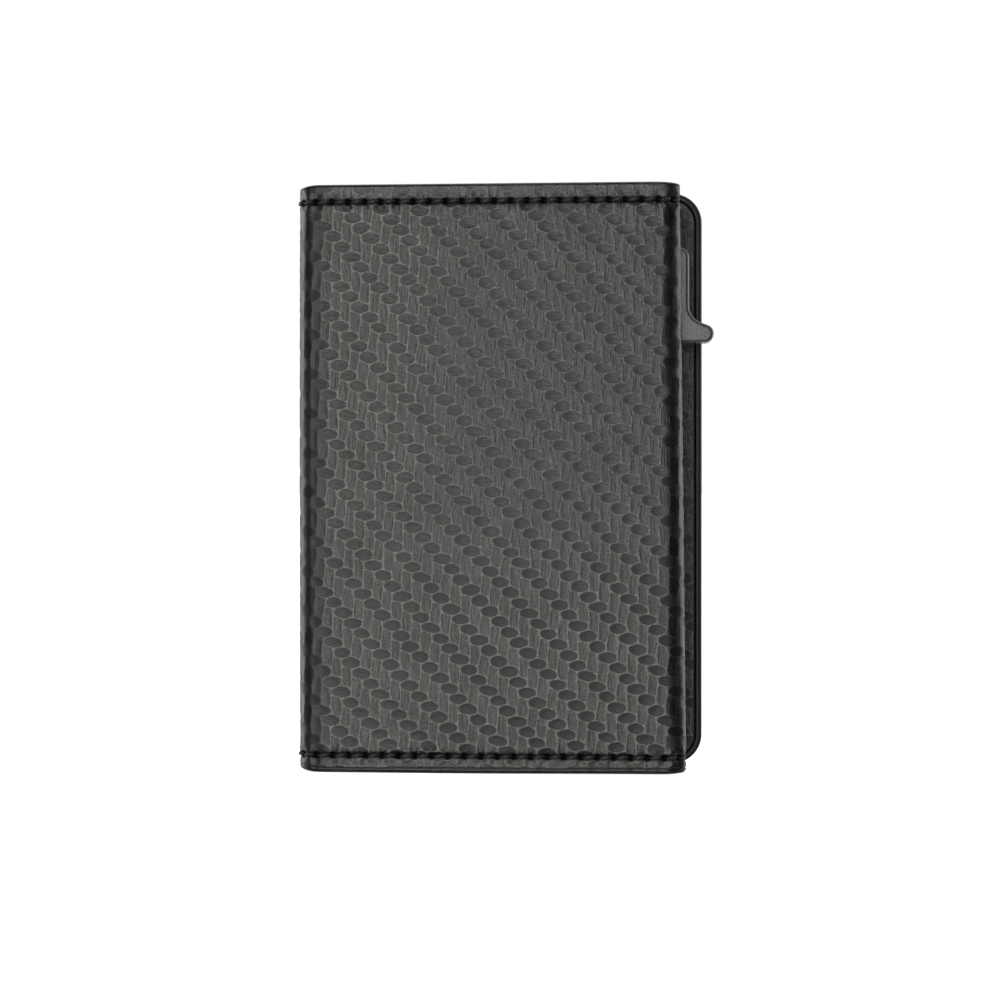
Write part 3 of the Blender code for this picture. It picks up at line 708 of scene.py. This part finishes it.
def brushed_metal(name, color, rough, stretch, relief=0.00002):
    """Metal with fine brush lines."""
    s = Shader(name)
    lines = s.noise(900.0, 4.0, 0.6, stretch)
    smudge = s.noise(90.0, 3.0)
    light = tuple(min(1.0, c * 1.25) for c in color)
    tone = s.mix(s.step(lines, 0.3, 0.7), color, light)
    s.bump(lines, relief)
    spread = s.step(lines, 0.3, 0.7, rough - 0.05, rough + 0.05)
    return s.finish(tone, s.add(spread, s.mul(smudge, 0.08)), 1.0)


def fibrous(name, dark, light, noise, relief, rough):
    """Matt material whose colour and relief follow one noise."""
    s = Shader(name)
    fibre = s.noise(*noise)
    s.bump(fibre, relief)
    return s.finish(s.mix(fibre, dark, light), rough)


def half_ellipse_length(across, deep):
    """Ramanujan's approximation."""
    ratio = 3 * ((across - deep) / (across + deep)) ** 2
    return math.pi * (across + deep) * (1 + ratio / (10 + math.sqrt(4 - ratio))) / 2


# --- sheets of the wallet ---

def half_spine(front):
    """Path parts from the middle of the spine round one spine fold."""
    hand = -1.0 if front else 1.0
    face = FRONT[0].y if front else BACK[1].y
    left = SPINE[0].x
    first = straight((left, 0.0), (left, face - hand * SPINE_BEND), STEP, -hand)
    turn = bend((left + SPINE_BEND, face - hand * SPINE_BEND), SPINE_BEND, 180.0, 180.0 - hand * 90.0, STEP)
    return first, turn


def fold_start():
    """Where the front face begins to turn into the right fold."""
    return FRONT[1].x - FOLD_INSET - FOLD_REACH


def front_path():
    spine, turn = half_spine(True)
    face = FRONT[0].y
    fold = fold_start()
    inner = face + 2 * COVER_HALF
    panel = straight((SPINE[0].x + SPINE_BEND, face), (fold, face), STEP)
    right = round_off((fold, face + COVER_HALF), FOLD_REACH, COVER_HALF, STEP)
    pocket = straight((fold, inner), (fold - POCKET_WIDTH, inner), COARSE_STEP)
    return track(spine, turn, panel, right, pocket)


FOLD_LENGTH = half_ellipse_length(FOLD_REACH, COVER_HALF)


def spine_length():
    """Length of the outer face from the middle of the spine to the flat panel."""
    return BACK[1].y - SPINE_BEND + SPINE_BEND * math.pi / 2


def front_across(length):
    """Distance along the leather, equal to x on the front face."""
    return length - spine_length() + SPINE[0].x + SPINE_BEND


def spine_ends(length):
    """How far the sheet's ends are drawn in along the spine."""
    flat = spine_length()
    return SPINE_DROP * (1.0 - smoothstep(length, flat - 0.0040, flat + 0.0012))


def panel_stops():
    """Lengths at which the front panel, the right fold and the pocket layer begin."""
    start = spine_length()
    end = start + fold_start() - SPINE[0].x - SPINE_BEND
    return start, end, end + FOLD_LENGTH


def near_ends(z):
    """1 in the sewn margins, 0 in the middle of the height."""
    return 1.0 - smoothstep(np.minimum(z, HEIGHT - z), *PINCH_FADE)


def front_sag(length, z):
    """How far the front cover dips below its flat shape near the sewn margins."""
    start, end, fold_end = panel_stops()
    pinched = smoothstep(length, start + PANEL_PINCH[0], start + PANEL_PINCH[1])
    pinched = SPINE_PINCH + (1.0 - SPINE_PINCH) * pinched
    sag = -PINCH * pinched * near_ends(z)
    from_fold = np.abs(length - (end + fold_end) / 2)
    sag = sag * smoothstep(from_fold, 0.0, FOLD_LENGTH / 2)
    sag = sag - CROWN_DROP * np.exp(-np.maximum(length - start, 0.0) / CROWN_REACH)
    for mark in SEAMS:
        sag = sag - FOLD_NOTCH * bell(from_fold, 0.0028) * bell(z - mark, 0.0006)
    return sag


def front_holes():
    """Needle holes from the middle of the spine to the pocket's free edge."""
    _, _, fold_end = panel_stops()
    return stitch_places(0.0, fold_end + POCKET_WIDTH - 0.0020)


def spine_holes():
    """Needle holes from the middle of the spine to the back panel."""
    return stitch_places(0.0, spine_length())


def shear_front(points):
    """The front cover is cut a little askew: its lower right corner reaches further."""
    share = np.clip((points[:, 0] - SPINE[0].x) / (FRONT[1].x - SPINE[0].x), 0.0, 1.0)
    points[:, 0] += SHEAR * share * (0.5 - points[:, 2] / HEIGHT)
    return points


def build_front_sheet(leather, edge, inside):
    path = front_path()
    length = path[2]
    panel_start, panel_end, fold_end = panel_stops()
    drawn = spine_ends(length) + FOLD_DROP * bell(length - (panel_end + fold_end) / 2, 0.0030)
    low = drawn + LOW_RIM + 0.0002 * smoothstep(length, panel_start + 0.02, panel_end)
    high = HEIGHT - drawn - HIGH_RIM
    rows = rows_between(LOW_RIM, HEIGHT - HIGH_RIM, SEAMS)
    holes = front_holes()
    across = front_across(length)
    flat_share = 1.0 - 0.5 * smoothstep(length, fold_end, fold_end + 0.004)

    def raised(z):
        p, q = weave_place(across[:, None], z)
        lift = weave_relief(p, q) * flat_share[:, None] + front_sag(length[:, None], z)
        for mark in SEAMS:
            lift += stitch_dents(length, z, holes, mark)
        return lift

    def rim_scale(up):
        return np.where(up < 0.0, LOW_RIM, HIGH_RIM)

    # the sheet's seams and folds get painted shade in its material
    return shell("front_cover_leather", path, low, high, rows, raised, GROOVED_RIM, rim_scale, LEATHER,
                 [leather, edge, inside], weave=across, reshape=shear_front,
                 seam_shading=lambda where, vertices: seam_shade(where, vertices[:, 2], holes),
                 folds=[(panel_start - SPINE_BEND * math.pi / 4, 0.0054),
                        ((panel_end + fold_end) / 2, 0.0050)], pressed=sewn_margin)


def round_corner(inset, face, outwards):
    """Path part along the back panel's rounded corners, and how much they cut off each end."""
    radius = BACK_CORNER - inset
    angles = np.linspace(0.0, math.pi / 2, round(radius * math.pi / 2 / STEP) + 1)
    x = PANEL_END - BACK_CORNER + radius * np.sin(angles)
    points = np.stack([x, np.full(len(angles), face)], 1)
    return (points, repeated((0.0, outwards), len(angles))), radius * (1.0 - np.cos(angles))


def build_back_sheet(leather, edge, inside):
    spine, turn = half_spine(False)
    face = BACK[1].y
    rim = HIGH_RIM
    panel = straight((SPINE[0].x + SPINE_BEND, face), (PANEL_END - BACK_CORNER, face), STEP, -1.0)
    corner, cut = round_corner(rim, face, 1.0)
    path = track(spine, turn, panel, corner)
    points, _, length = path
    low = spine_ends(length) + rim
    low[-len(cut):] += cut
    rows = rows_between(rim, HEIGHT - rim, SEAMS)
    across = front_across(0.0) - length
    holes = spine_holes()
    on_spine = 1.0 - smoothstep(length, spine_length() - 0.0006, spine_length() + 0.0006)[:, None]

    def raised(z):
        p, q = weave_place(across[:, None], z)
        edge_distance = back_inset(points[:, :1], z)
        rim_lift = -RIM_DROP * (1.0 - smoothstep(edge_distance, *RIM_FADE))
        rim_lift -= RIM_GROOVE * bell(edge_distance - RIM_INSET, RIM_GROOVE_WIDTH)
        spine_lift = -PINCH * SPINE_PINCH * near_ends(z)
        for mark in SEAMS:
            spine_lift += stitch_dents(length, z, holes, mark)
        return weave_relief(p, q) + spine_lift * on_spine + rim_lift * (1.0 - on_spine)

    # painted shade in the spine's needle holes and seams, and along the rim's groove
    def seam_shading(where, vertices):
        spine = seam_shade(where, vertices[:, 2], holes) * (where < spine_length())
        from_rim = back_inset(vertices[:, 0], vertices[:, 2]) - RIM_INSET
        return np.maximum(spine, 0.7 * bell(from_rim, RIM_GROOVE_WIDTH) * (where >= spine_length()))

    # the spine's fold gets painted shade
    return shell("back_cover_leather", path, low, HEIGHT - low, rows, raised, ROUND_RIM, even_rim(rim),
                 LEATHER, [leather, edge, inside], flip=True, weave=across, seam_shading=seam_shading,
                 folds=[(spine_length() - SPINE_BEND * math.pi / 4, 0.0048)])


def back_inset(x, z):
    """Distance from a point of the back panel to its rounded outline."""
    corner = BACK_CORNER
    dx = np.maximum(x - (PANEL_END - corner), 0.0)
    dz = np.maximum(np.abs(z - HEIGHT / 2) - (HEIGHT / 2 - corner), 0.0)
    inner = np.minimum(PANEL_END - x, HEIGHT / 2 - np.abs(z - HEIGHT / 2))
    return np.where((dx > 0) & (dz > 0), corner - np.hypot(dx, dz), inner)


# --- stitches ---

def thread_section(angle):
    """Radius of two twisted strands, seen along the thread."""
    apart, strand = 0.42, 0.58
    return apart * np.abs(np.cos(angle)) + np.sqrt(strand ** 2 - (apart * np.sin(angle)) ** 2)


def build_stitches(name, place_at, holes, radius, material, reshape=None, slant=0.00016, turns=0.5):
    """One closed twisted tube between each pair of neighbouring needle holes.

    `place_at(length, rise)` gives places on the leather and its outward normals
    and sideways directions.
    """
    around, along = 12, 18
    angle = np.linspace(0.0, 2 * math.pi, around, endpoint=False)
    t = np.linspace(0.0, 1.0, along)
    vertices, faces = [], []
    for first, last in zip(holes[:-1], holes[1:]):
        length = first + (last - first) * (STITCH_GAP + (1.0 - 2.0 * STITCH_GAP) * t)
        rise = radius * (0.15 - 2.2 * np.abs(2 * t - 1) ** 3)
        centre, normal, sideways = place_at(length)
        centre = centre + normal * rise[:, None] + sideways * ((t - 0.5) * slant)[:, None]
        turned = angle[None] + 2 * math.pi * turns * t[:, None]
        size = radius * thread_section(turned) * (1.0 - 0.35 * np.abs(2 * t - 1) ** 6)[:, None]
        ring = (centre[:, None] + normal[:, None] * (np.cos(angle) * size)[..., None]
                + sideways[:, None] * (np.sin(angle) * size)[..., None])
        base = len(vertices) * along * around
        vertices.append(ring.reshape(-1, 3))
        index = base + np.arange(along * around).reshape(along, around)
        faces += tube_faces(index)
    vertices = np.concatenate(vertices)
    if reshape is not None:
        vertices = reshape(vertices)
    obj = make_object(name, vertices, faces, [material], sharp=70.0)
    bm = bmesh.new()
    bm.from_mesh(obj.data)
    bmesh.ops.recalc_face_normals(bm, faces=bm.faces)
    bm.to_mesh(obj.data)
    bm.free()
    return obj


def track_place(path, mark, sag):
    """Places along a sheet path at one height, for build_stitches."""
    points, normals, length = path

    def place_at(where):
        x = np.interp(where, length, points[:, 0])
        y = np.interp(where, length, points[:, 1])
        nx = np.interp(where, length, normals[:, 0])
        ny = np.interp(where, length, normals[:, 1])
        size = np.hypot(nx, ny)
        normal = np.stack([nx / size, ny / size, np.zeros(len(where))], 1)
        centre = np.stack([x, y, np.full(len(where), mark)], 1) + normal * sag(where, mark)[:, None]
        return centre, normal, repeated((0.0, 0.0, 1.0), len(where))

    return place_at


def rim_place(inset):
    """Places along the back panel's outline, for build_stitches."""
    left = SPINE[0].x + SPINE_BEND
    radius = BACK_CORNER - inset
    corner = PANEL_END - BACK_CORNER
    reach = corner - left
    turn = radius * math.pi / 2
    rise = HEIGHT - 2 * BACK_CORNER
    total = 2 * reach + 2 * turn + rise

    def place_at(where):
        centre, sideways = [], []
        for s in np.atleast_1d(where):
            mirrored = s > total / 2
            s = total - s if mirrored else s
            if s < reach:
                x, z, out = left + s, inset, (0.0, -1.0)
            elif s < reach + turn:
                a = (s - reach) / radius
                x, z, out = corner + radius * math.sin(a), BACK_CORNER - radius * math.cos(a), \
                    (math.sin(a), -math.cos(a))
            else:
                x, z, out = PANEL_END - inset, BACK_CORNER + s - reach - turn, (1.0, 0.0)
            if mirrored:
                z, out = HEIGHT - z, (out[0], -out[1])
            centre.append((x, BACK[1].y - RIM_THREAD_SINK, z))
            sideways.append((out[0], 0.0, out[1]))
        return np.array(centre), repeated((0.0, 1.0, 0.0), len(centre)), np.array(sideways)

    return place_at, total


def build_welt(name, centre, thick, wide, half_thick, half_wide, material, reshape=None):
    """Closed filler strip with a softly rounded section, swept along `centre`.

    `thick` and `wide` are the directions of the section's two half sizes.
    """
    around = 24
    angle = np.linspace(0.0, 2 * math.pi, around, endpoint=False)
    across = np.sign(np.cos(angle)) * np.abs(np.cos(angle)) ** 0.4 * half_thick
    out = np.sign(np.sin(angle)) * np.abs(np.sin(angle)) ** 0.4 * half_wide
    ring = centre[:, None] + thick[:, None] * across[:, None] + wide[:, None] * out[:, None]
    index = np.arange(len(centre) * around).reshape(len(centre), around)
    vertices = ring.reshape(-1, 3)
    if reshape is not None:
        vertices = reshape(vertices)
    return make_object(name, vertices, tube_faces(index), [material], sharp=60.0)


def build_back_welt(material):
    """Fills the sewn border between the back leather and its lining."""
    front, back = LINING[1].y, BACK[0].y
    place_at, total = rim_place(WELT_INSET + WELT_WIDTH / 2)
    centre, normal, sideways = place_at(spaced(0.0, total, 0.0006))
    centre[:, 1] = (front + back) / 2
    return build_welt("back_welt", centre, normal, sideways, (back - front) / 2 + WELT_BITE,
                      WELT_WIDTH / 2, material)


def build_front_welt(side, material):
    """Fills the sewn margin between the front leather and its pocket layer."""
    start = fold_start() - POCKET_WIDTH + 0.0006
    x = spaced(start, fold_start() + 0.0012, 0.0010)
    z = WELT_INSET + 0.0002 + WELT_WIDTH / 2
    front = FRONT[0].y + LEATHER
    back = FRONT[0].y + 2 * COVER_HALF - LEATHER
    height = z if side == "lower" else HEIGHT - z
    centre = np.stack([x, np.full(len(x), (front + back) / 2), np.full(len(x), height)], 1)
    return build_welt("front_welt_" + side, centre, repeated((0.0, 1.0, 0.0), len(x)),
                      repeated((0.0, 0.0, 1.0), len(x)), (back - front) / 2 + WELT_BITE, WELT_WIDTH / 2,
                      material, shear_front)


# --- linings ---

CREASED_RIM = [(0.10, 0.0), (0.135, 0.03), (0.16, 0.20), (0.20, 0.28), (0.24, 0.20), (0.265, 0.03),
               (0.30, -0.03), (0.45, -0.05), (0.62, -0.04), (0.78, 0.02), (0.89, 0.12), (0.97, 0.28),
               (1.0, 0.5), (0.97, 0.78), (0.88, 1.0)]
CREASE_BORDER = 0.0015      # from the lining's outline to its woven field
FINE_LINING = 0.004         # the lining's grid is fine this far before its round corners


def build_back_lining(leather, rim, inside):
    """Lining of the back panel: woven field, pressed crease and smooth rim."""
    face = LINING[0].y
    corner_x = PANEL_END - BACK_CORNER
    fine_from = corner_x - FINE_LINING
    corner, cut = round_corner(CREASE_BORDER, face, -1.0)
    path = track(straight((LINING[0].x, face), (fine_from, face), 3 * STEP),
                 straight((fine_from, face), (corner_x, face), STEP), corner)
    points, _, length = path
    low = np.full(len(length), CREASE_BORDER)
    low[-len(cut):] += cut
    rows = rows_between(CREASE_BORDER, HEIGHT - CREASE_BORDER, ())
    across = points[:, 0]

    def raised(z):
        p, q = weave_place(across[:, None], z)
        return weave_relief(p, q) * smoothstep(back_inset(points[:, :1], z), CREASE_BORDER, 0.0030)

    return shell("back_panel_lining", path, low, HEIGHT - low, rows, raised, CREASED_RIM,
                 even_rim(CREASE_BORDER), LEATHER, [leather, rim, inside], weave=across)


def build_spine_lining(front, lining):
    """Soft lining inside the spine; the front half runs on over the cover's board."""
    inner = SPINE_LINING[1].x
    thickness = SPINE_LINING[1].x - SPINE_LINING[0].x
    if front:
        face = FRONT[0].y
        centre = (SPINE[0].x + SPINE_BEND, face + SPINE_BEND)
        radius = centre[0] - inner
        points, normals = bend(centre, radius, 180.0, 270.0, STEP)
        end_x = BOARD[0].x + 0.0120
        path = track(straight((inner, 0.0), (inner, centre[1]), STEP, -1.0), (points, -normals),
                     straight((centre[0], centre[1] - radius), (end_x, centre[1] - radius), STEP, -1.0))
    else:
        path = track(straight((inner, 0.0), (inner, SPINE_LINING[1].y), STEP, 1.0))
    points, _, length = path
    low = np.full(len(length), SPINE_LINING[0].z + LINING_RIM)
    rows = rows_between(low[0], HEIGHT - low[0], ())[::3]
    rows = np.append(rows[rows < 0.999], 1.0)

    def raised(z):
        over_board = BOARD[1].y - (FRONT[0].y + LEATHER)
        step_up = smoothstep(points[:, :1], BOARD[0].x - 0.0004, BOARD[0].x + 0.0012) * over_board
        return (step_up if front else np.zeros((len(points), 1))) + np.zeros_like(z)

    name = "spine_lining_front" if front else "spine_lining_back"
    return shell(name, path, low, HEIGHT - low, rows, raised, ROUND_RIM, even_rim(LINING_RIM), thickness,
                 [lining, lining, lining], flip=front)


# --- trigger ---

def arc_points(cx, cz, radius, start, end, steps=16):
    angles = np.radians(np.linspace(start, end, steps + 1))
    return [(cx + radius * math.cos(a), cz + radius * math.sin(a)) for a in angles]


def block(name, low, high):
    corners = [(x, y, z) for x in (low[0], high[0]) for y in (low[1], high[1]) for z in (low[2], high[2])]
    faces = [(0, 1, 3, 2), (4, 6, 7, 5), (0, 4, 5, 1), (2, 3, 7, 6), (0, 2, 6, 4), (1, 5, 7, 3)]
    return make_object(name, corners, faces, [])


def rod(name, centre, radius, length, sides=32):
    """Closed cylinder along Y."""
    angle = np.linspace(0.0, 2 * math.pi, sides, endpoint=False)
    ring = np.stack([centre[0] + radius * np.cos(angle), np.full(sides, centre[1]),
                     centre[2] + radius * np.sin(angle)], 1)
    along = np.array([[0.0, length / 2, 0.0]])
    faces = [(i, (i + 1) % sides, sides + (i + 1) % sides, sides + i) for i in range(sides)]
    faces += [tuple(range(sides))[::-1], tuple(range(sides, 2 * sides))]
    return make_object(name, np.concatenate([ring + along, ring - along]), faces, [])


def combine(obj, tool, operation):
    """Boolean one piece with a tool, which is used up."""
    change = obj.modifiers.new("change", 'BOOLEAN')
    change.operation = operation
    change.solver = 'EXACT'
    change.object = tool
    apply_modifiers(obj)
    bpy.data.objects.remove(tool)


def moved_in(outline, amount):
    """Outline moved inwards by `amount`; it runs counter-clockwise."""
    points = np.array(outline)
    ahead = np.roll(points, -1, axis=0) - points
    ahead /= np.linalg.norm(ahead, axis=1)[:, None]
    behind = np.roll(ahead, 1, axis=0)
    left = np.stack([-ahead[:, 1], ahead[:, 0]], 1)
    left_behind = np.stack([-behind[:, 1], behind[:, 0]], 1)
    middle = left + left_behind
    middle /= np.maximum(np.sum(middle * left, axis=1), 0.5)[:, None]
    return points + middle * amount


def build_thumb_trigger(finish):
    """Thumb piece with softly rounded edges, square where its inner side lies on the case."""
    low, high = TRIGGER
    inner, stem = low.x + THUMB_INNER, low.x + THUMB_OUTER
    outline = [(inner, low.z)]
    outline += arc_points(high.x - TIP_R, low.z + TIP_R, TIP_R, -90.0, 70.0, 24)
    outline += arc_points(stem + SADDLE_R, low.z + SADDLE_UP, SADDLE_R, 250.0, 180.0)
    outline += arc_points(stem - TOP_R, high.z - TOP_R, TOP_R, 0.0, 90.0)
    outline.append((inner, high.z))
    turns = np.radians(np.linspace(0.0, 90.0, 7))
    rings = [(low.y, THUMB_EDGE + THUMB_FLAT)]
    rings += [(low.y + THUMB_EDGE * (1.0 - math.cos(a)), THUMB_EDGE * (1.0 - math.sin(a)))
              for a in turns]
    rings += [(low.y + high.y - y, inset) for y, inset in rings[::-1]]
    count = len(outline)
    vertices = []
    for y, inset in rings:
        points = moved_in(outline, inset)
        points[[0, -1], 0] = inner
        vertices.append(np.stack([points[:, 0], np.full(count, y), points[:, 1]], 1))
    index = np.arange(count * len(rings)).reshape(len(rings), count)
    faces = [face[::-1] for face in tube_faces(index)]
    obj = make_object("trigger_thumb", np.concatenate(vertices), faces, [finish], sharp=60.0)
    middle = (low.y + high.y) / 2
    neck = block("neck_tool", (low.x, middle - NECK_HALF, low.z + NECK_LOW),
                 (inner + 0.0005, middle + NECK_HALF, low.z + NECK_HIGH))
    rivet_hole = rod("rivet_tool", (low.x + RIVET_IN, middle, low.z + RIVET_UP), RIVET_BORE, 0.010)
    combine(obj, neck, 'UNION')
    combine(obj, rivet_hole, 'DIFFERENCE')
    obj.data.shade_smooth()
    obj.data.set_sharp_from_angle(angle=math.radians(40.0))
    return obj


# --- stage ---

CAMERA_DISTANCE = 0.345
CAMERA_YAW = math.radians(4.08)
CAMERA_TARGET = Vector((-0.002125, FRONT[0].y, HEIGHT / 2))


def build_camera():
    """Level camera a little to the right of the front cover."""
    data = bpy.data.cameras.new("camera")
    data.lens = 73.5
    data.sensor_width = 36.0
    data.shift_x = 0.0085
    data.shift_y = -0.0215
    data.clip_start = 0.01
    camera = bpy.data.objects.new("camera", data)
    bpy.context.scene.collection.objects.link(camera)
    backwards = Vector((math.sin(CAMERA_YAW), -math.cos(CAMERA_YAW), 0.0))
    camera.location = CAMERA_TARGET + backwards * CAMERA_DISTANCE
    camera.rotation_euler = (math.radians(90.0), 0.0, CAMERA_YAW)
    bpy.context.scene.camera = camera


def area_light(name, place, target, size, power, color=(1.0, 1.0, 1.0)):
    data = bpy.data.lights.new(name, 'AREA')
    data.shape = 'RECTANGLE'
    data.size, data.size_y = size
    data.energy = power
    data.color = color
    light = bpy.data.objects.new(name, data)
    bpy.context.scene.collection.objects.link(light)
    light.location = place
    aim = Vector(target) - Vector(place)
    light.rotation_euler = aim.to_track_quat('-Z', 'Y').to_euler()
    light.visible_camera = False


def build_world():
    """White to the camera; for reflections, bright behind the wallet and dark in front of it."""
    world = bpy.data.worlds.new("studio")
    bpy.context.scene.world = world
    s = Nodes(world)
    split = s.node("ShaderNodeSeparateXYZ")
    s.feed(split.inputs[0], s.node("ShaderNodeTexCoord").outputs["Generated"])
    seen = s.node("ShaderNodeMix", data_type='FLOAT')
    s.feed(seen.inputs[0], s.node("ShaderNodeLightPath").outputs["Is Camera Ray"])
    s.feed(seen.inputs[2], s.step(split.outputs["Y"], -0.85, 0.20, 0.02, 0.95))
    s.feed(seen.inputs[3], 1.0)
    background = s.tree.nodes["Background"]
    s.feed(background.inputs["Strength"], seen.outputs[0])
    s.feed(background.inputs["Color"], (1.0, 1.0, 1.0, 1.0))


def build_floor():
    bm = bmesh.new()
    bmesh.ops.create_circle(bm, cap_ends=True, segments=96, radius=6.0)
    mesh = bpy.data.meshes.new("floor")
    bm.to_mesh(mesh)
    bm.free()
    floor = bpy.data.objects.new("floor", mesh)
    bpy.context.scene.collection.objects.link(floor)
    floor.location.z = -0.00005
    s = Shader("pale_floor")
    ray = s.node("ShaderNodeLightPath").outputs["Is Camera Ray"]
    pale = s.mix(s.noise(60.0, 3.0), (0.86, 0.86, 0.86), (0.90, 0.90, 0.90))
    white = (1.0, 1.0, 1.0, 1.0)
    mesh.materials.append(s.finish(s.mix(ray, (0.25, 0.25, 0.25), pale), 0.9,
                                   **{"Emission Color": white, "Emission Strength": s.mul(ray, 0.88)}))
    floor.visible_glossy = False
    floor.visible_shadow = False


def build_stage():
    middle = (0.0, 0.0, HEIGHT / 2)
    area_light("front_softbox", (-0.085, -0.75, 0.05), middle, (0.40, 0.85), 4.5, (1.0, 0.985, 0.965))
    area_light("left_strip", (-0.70, 0.12, 0.10), middle, (0.30, 0.50), 2.2)
    area_light("right_strip", (0.70, 0.10, 0.10), middle, (0.50, 0.50), 1.9, (0.96, 0.98, 1.0))
    area_light("top_softbox", (0.0, 0.10, 0.90), middle, (0.70, 0.50), 2.0)
    build_world()
    build_floor()
    view = bpy.context.scene.view_settings
    view.view_transform = 'Standard'
    view.look = 'None'
    view.exposure = 0.0
    view.gamma = 1.0


# --- assembly ---

def blend_front(obj):
    """Bake a piece's transform into its mesh."""
    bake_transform(obj)


def blend_back(obj):
    """Bake a piece's transform into its mesh."""
    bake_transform(obj)


def stand_for(obj, slot, *nodes):
    """Hide the CAD nodes that a piece stands for; `slot` is not used."""
    if nodes:
        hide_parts(*nodes)


def attach(obj, body, slot, *nodes):
    """Let a piece ride on a body and stand for CAD nodes."""
    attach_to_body(obj, body)
    stand_for(obj, slot, *nodes)


def build_leather():
    woven, paint = carbon_leather(), edge_paint()
    inside = plain_leather("leather_inside", (0.030, 0.030, 0.031), (0.045, 0.045, 0.046))
    smooth = plain_leather("lining_leather", (0.020, 0.020, 0.021), (0.034, 0.034, 0.036))
    rim = plain_leather("burnished_rim", (0.003, 0.004, 0.0055), (0.006, 0.0075, 0.010), 1400.0, 0.42,
                        0.00002, gloss=0.34)

    front = build_front_sheet(woven, paint, inside)
    blend_front(front)
    stand_for(front, "carbon_leather", "front_leather")
    back = build_back_sheet(woven, paint, inside)
    blend_back(back)
    stand_for(back, "carbon_leather", "back_leather", "spine_leather")

    # the lining lies deep behind the front cover; a darker copy of the woven leather paints its shade
    panel_lining = build_back_lining(carbon_leather("carbon_leather_painted_shade", 0.62), rim, inside)
    attach(panel_lining, "card_case", "lining_leather", "back_lining")
    spine_front = build_spine_lining(True, smooth)
    blend_front(spine_front)
    stand_for(spine_front, "lining_leather", "spine_lining")
    attach(build_spine_lining(False, smooth), "spine", "lining_leather")
    attach(build_back_welt(paint), "card_case", "carbon_leather")
    for side in ("lower", "upper"):
        attach(build_front_welt(side, paint), "front_cover", "carbon_leather")


def build_threads():
    thread = thread_material()
    for side, mark in zip(("lower", "upper"), SEAMS):
        front = build_stitches("front_stitches_" + side, track_place(front_path(), mark, front_sag),
                               front_holes(), THREAD_R, thread, shear_front)
        blend_front(front)
        stand_for(front, "thread", "front_thread_" + side)
        spine_track = track(*half_spine(False))
        spine = build_stitches("spine_stitches_" + side, track_place(spine_track, mark, spine_sag),
                               spine_holes(), THREAD_R, thread)
        blend_back(spine)
        stand_for(spine, "thread", "spine_thread_" + side)
    place_at, total = rim_place(RIM_INSET)
    rim = build_stitches("back_rim_stitches", place_at, stitch_places(0.0, total), RIM_THREAD_R, thread)
    blend_back(rim)
    stand_for(rim, "thread", "back_thread")


def spine_sag(length, z):
    return -PINCH * SPINE_PINCH * near_ends(z) * np.ones_like(length)


def build_hardware():
    """The thumb trigger, and a finish for every carried-over part of the frame."""
    steel = brushed_metal("pin_steel", (0.15, 0.15, 0.155), 0.46, (4.0, 4.0, 4.0), 0.000004)
    case = brushed_metal("case_aluminium", (0.13, 0.13, 0.14), 0.38, (14.0, 14.0, 0.6))
    nickel = brushed_metal("magnet_nickel", (0.62, 0.60, 0.56), 0.22, (6.0, 6.0, 6.0))
    ends = moulded_plastic("end_plastic", (0.016, 0.016, 0.017), (0.026, 0.026, 0.028), 0.46)
    thumb = moulded_plastic("trigger_plastic", (0.040, 0.040, 0.042), (0.050, 0.050, 0.052), 0.22)
    slide = moulded_plastic("carriage_plastic", (0.024, 0.024, 0.026), (0.036, 0.036, 0.038), 0.40)
    arm = moulded_plastic("arm_plastic", (0.56, 0.56, 0.54), (0.64, 0.64, 0.62), 0.44)
    board = fibrous("stiffener_board", (0.15, 0.14, 0.125), (0.26, 0.25, 0.22), (1500.0, 5.0, 0.65),
                    0.00005, 0.9)
    pads = fibrous("grip_felt", (0.015, 0.015, 0.017), (0.050, 0.050, 0.055), (3500.0, 5.0, 0.7),
                   0.0001, 0.95)
    tape = fibrous("adhesive_film", (0.50, 0.49, 0.45), (0.62, 0.61, 0.56), (300.0, 4.0), 0.00004, 0.55)
    attach(build_thumb_trigger(thumb), "trigger", "trigger_plastic", "trigger")
    finishes = {
        "case_tube": case, "end_cap": ends, "mouth_collar": ends, "keeper_lower": steel,
        "keeper_upper": steel, "pivot_pin": steel, "trigger_rivet": steel, "magnet_lower": nickel,
        "magnet_upper": nickel, "trigger_carriage": slide, "fan_arm": arm,
        "grip_pad_left": pads, "grip_pad_right": pads, "front_board": board, "back_board": board,
        "adhesive_pad": tape,
    }
    for name, finish in finishes.items():
        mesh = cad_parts[name].data
        mesh.materials.clear()
        mesh.materials.append(finish)


build_leather()
build_threads()
build_hardware()
build_camera()
build_stage()
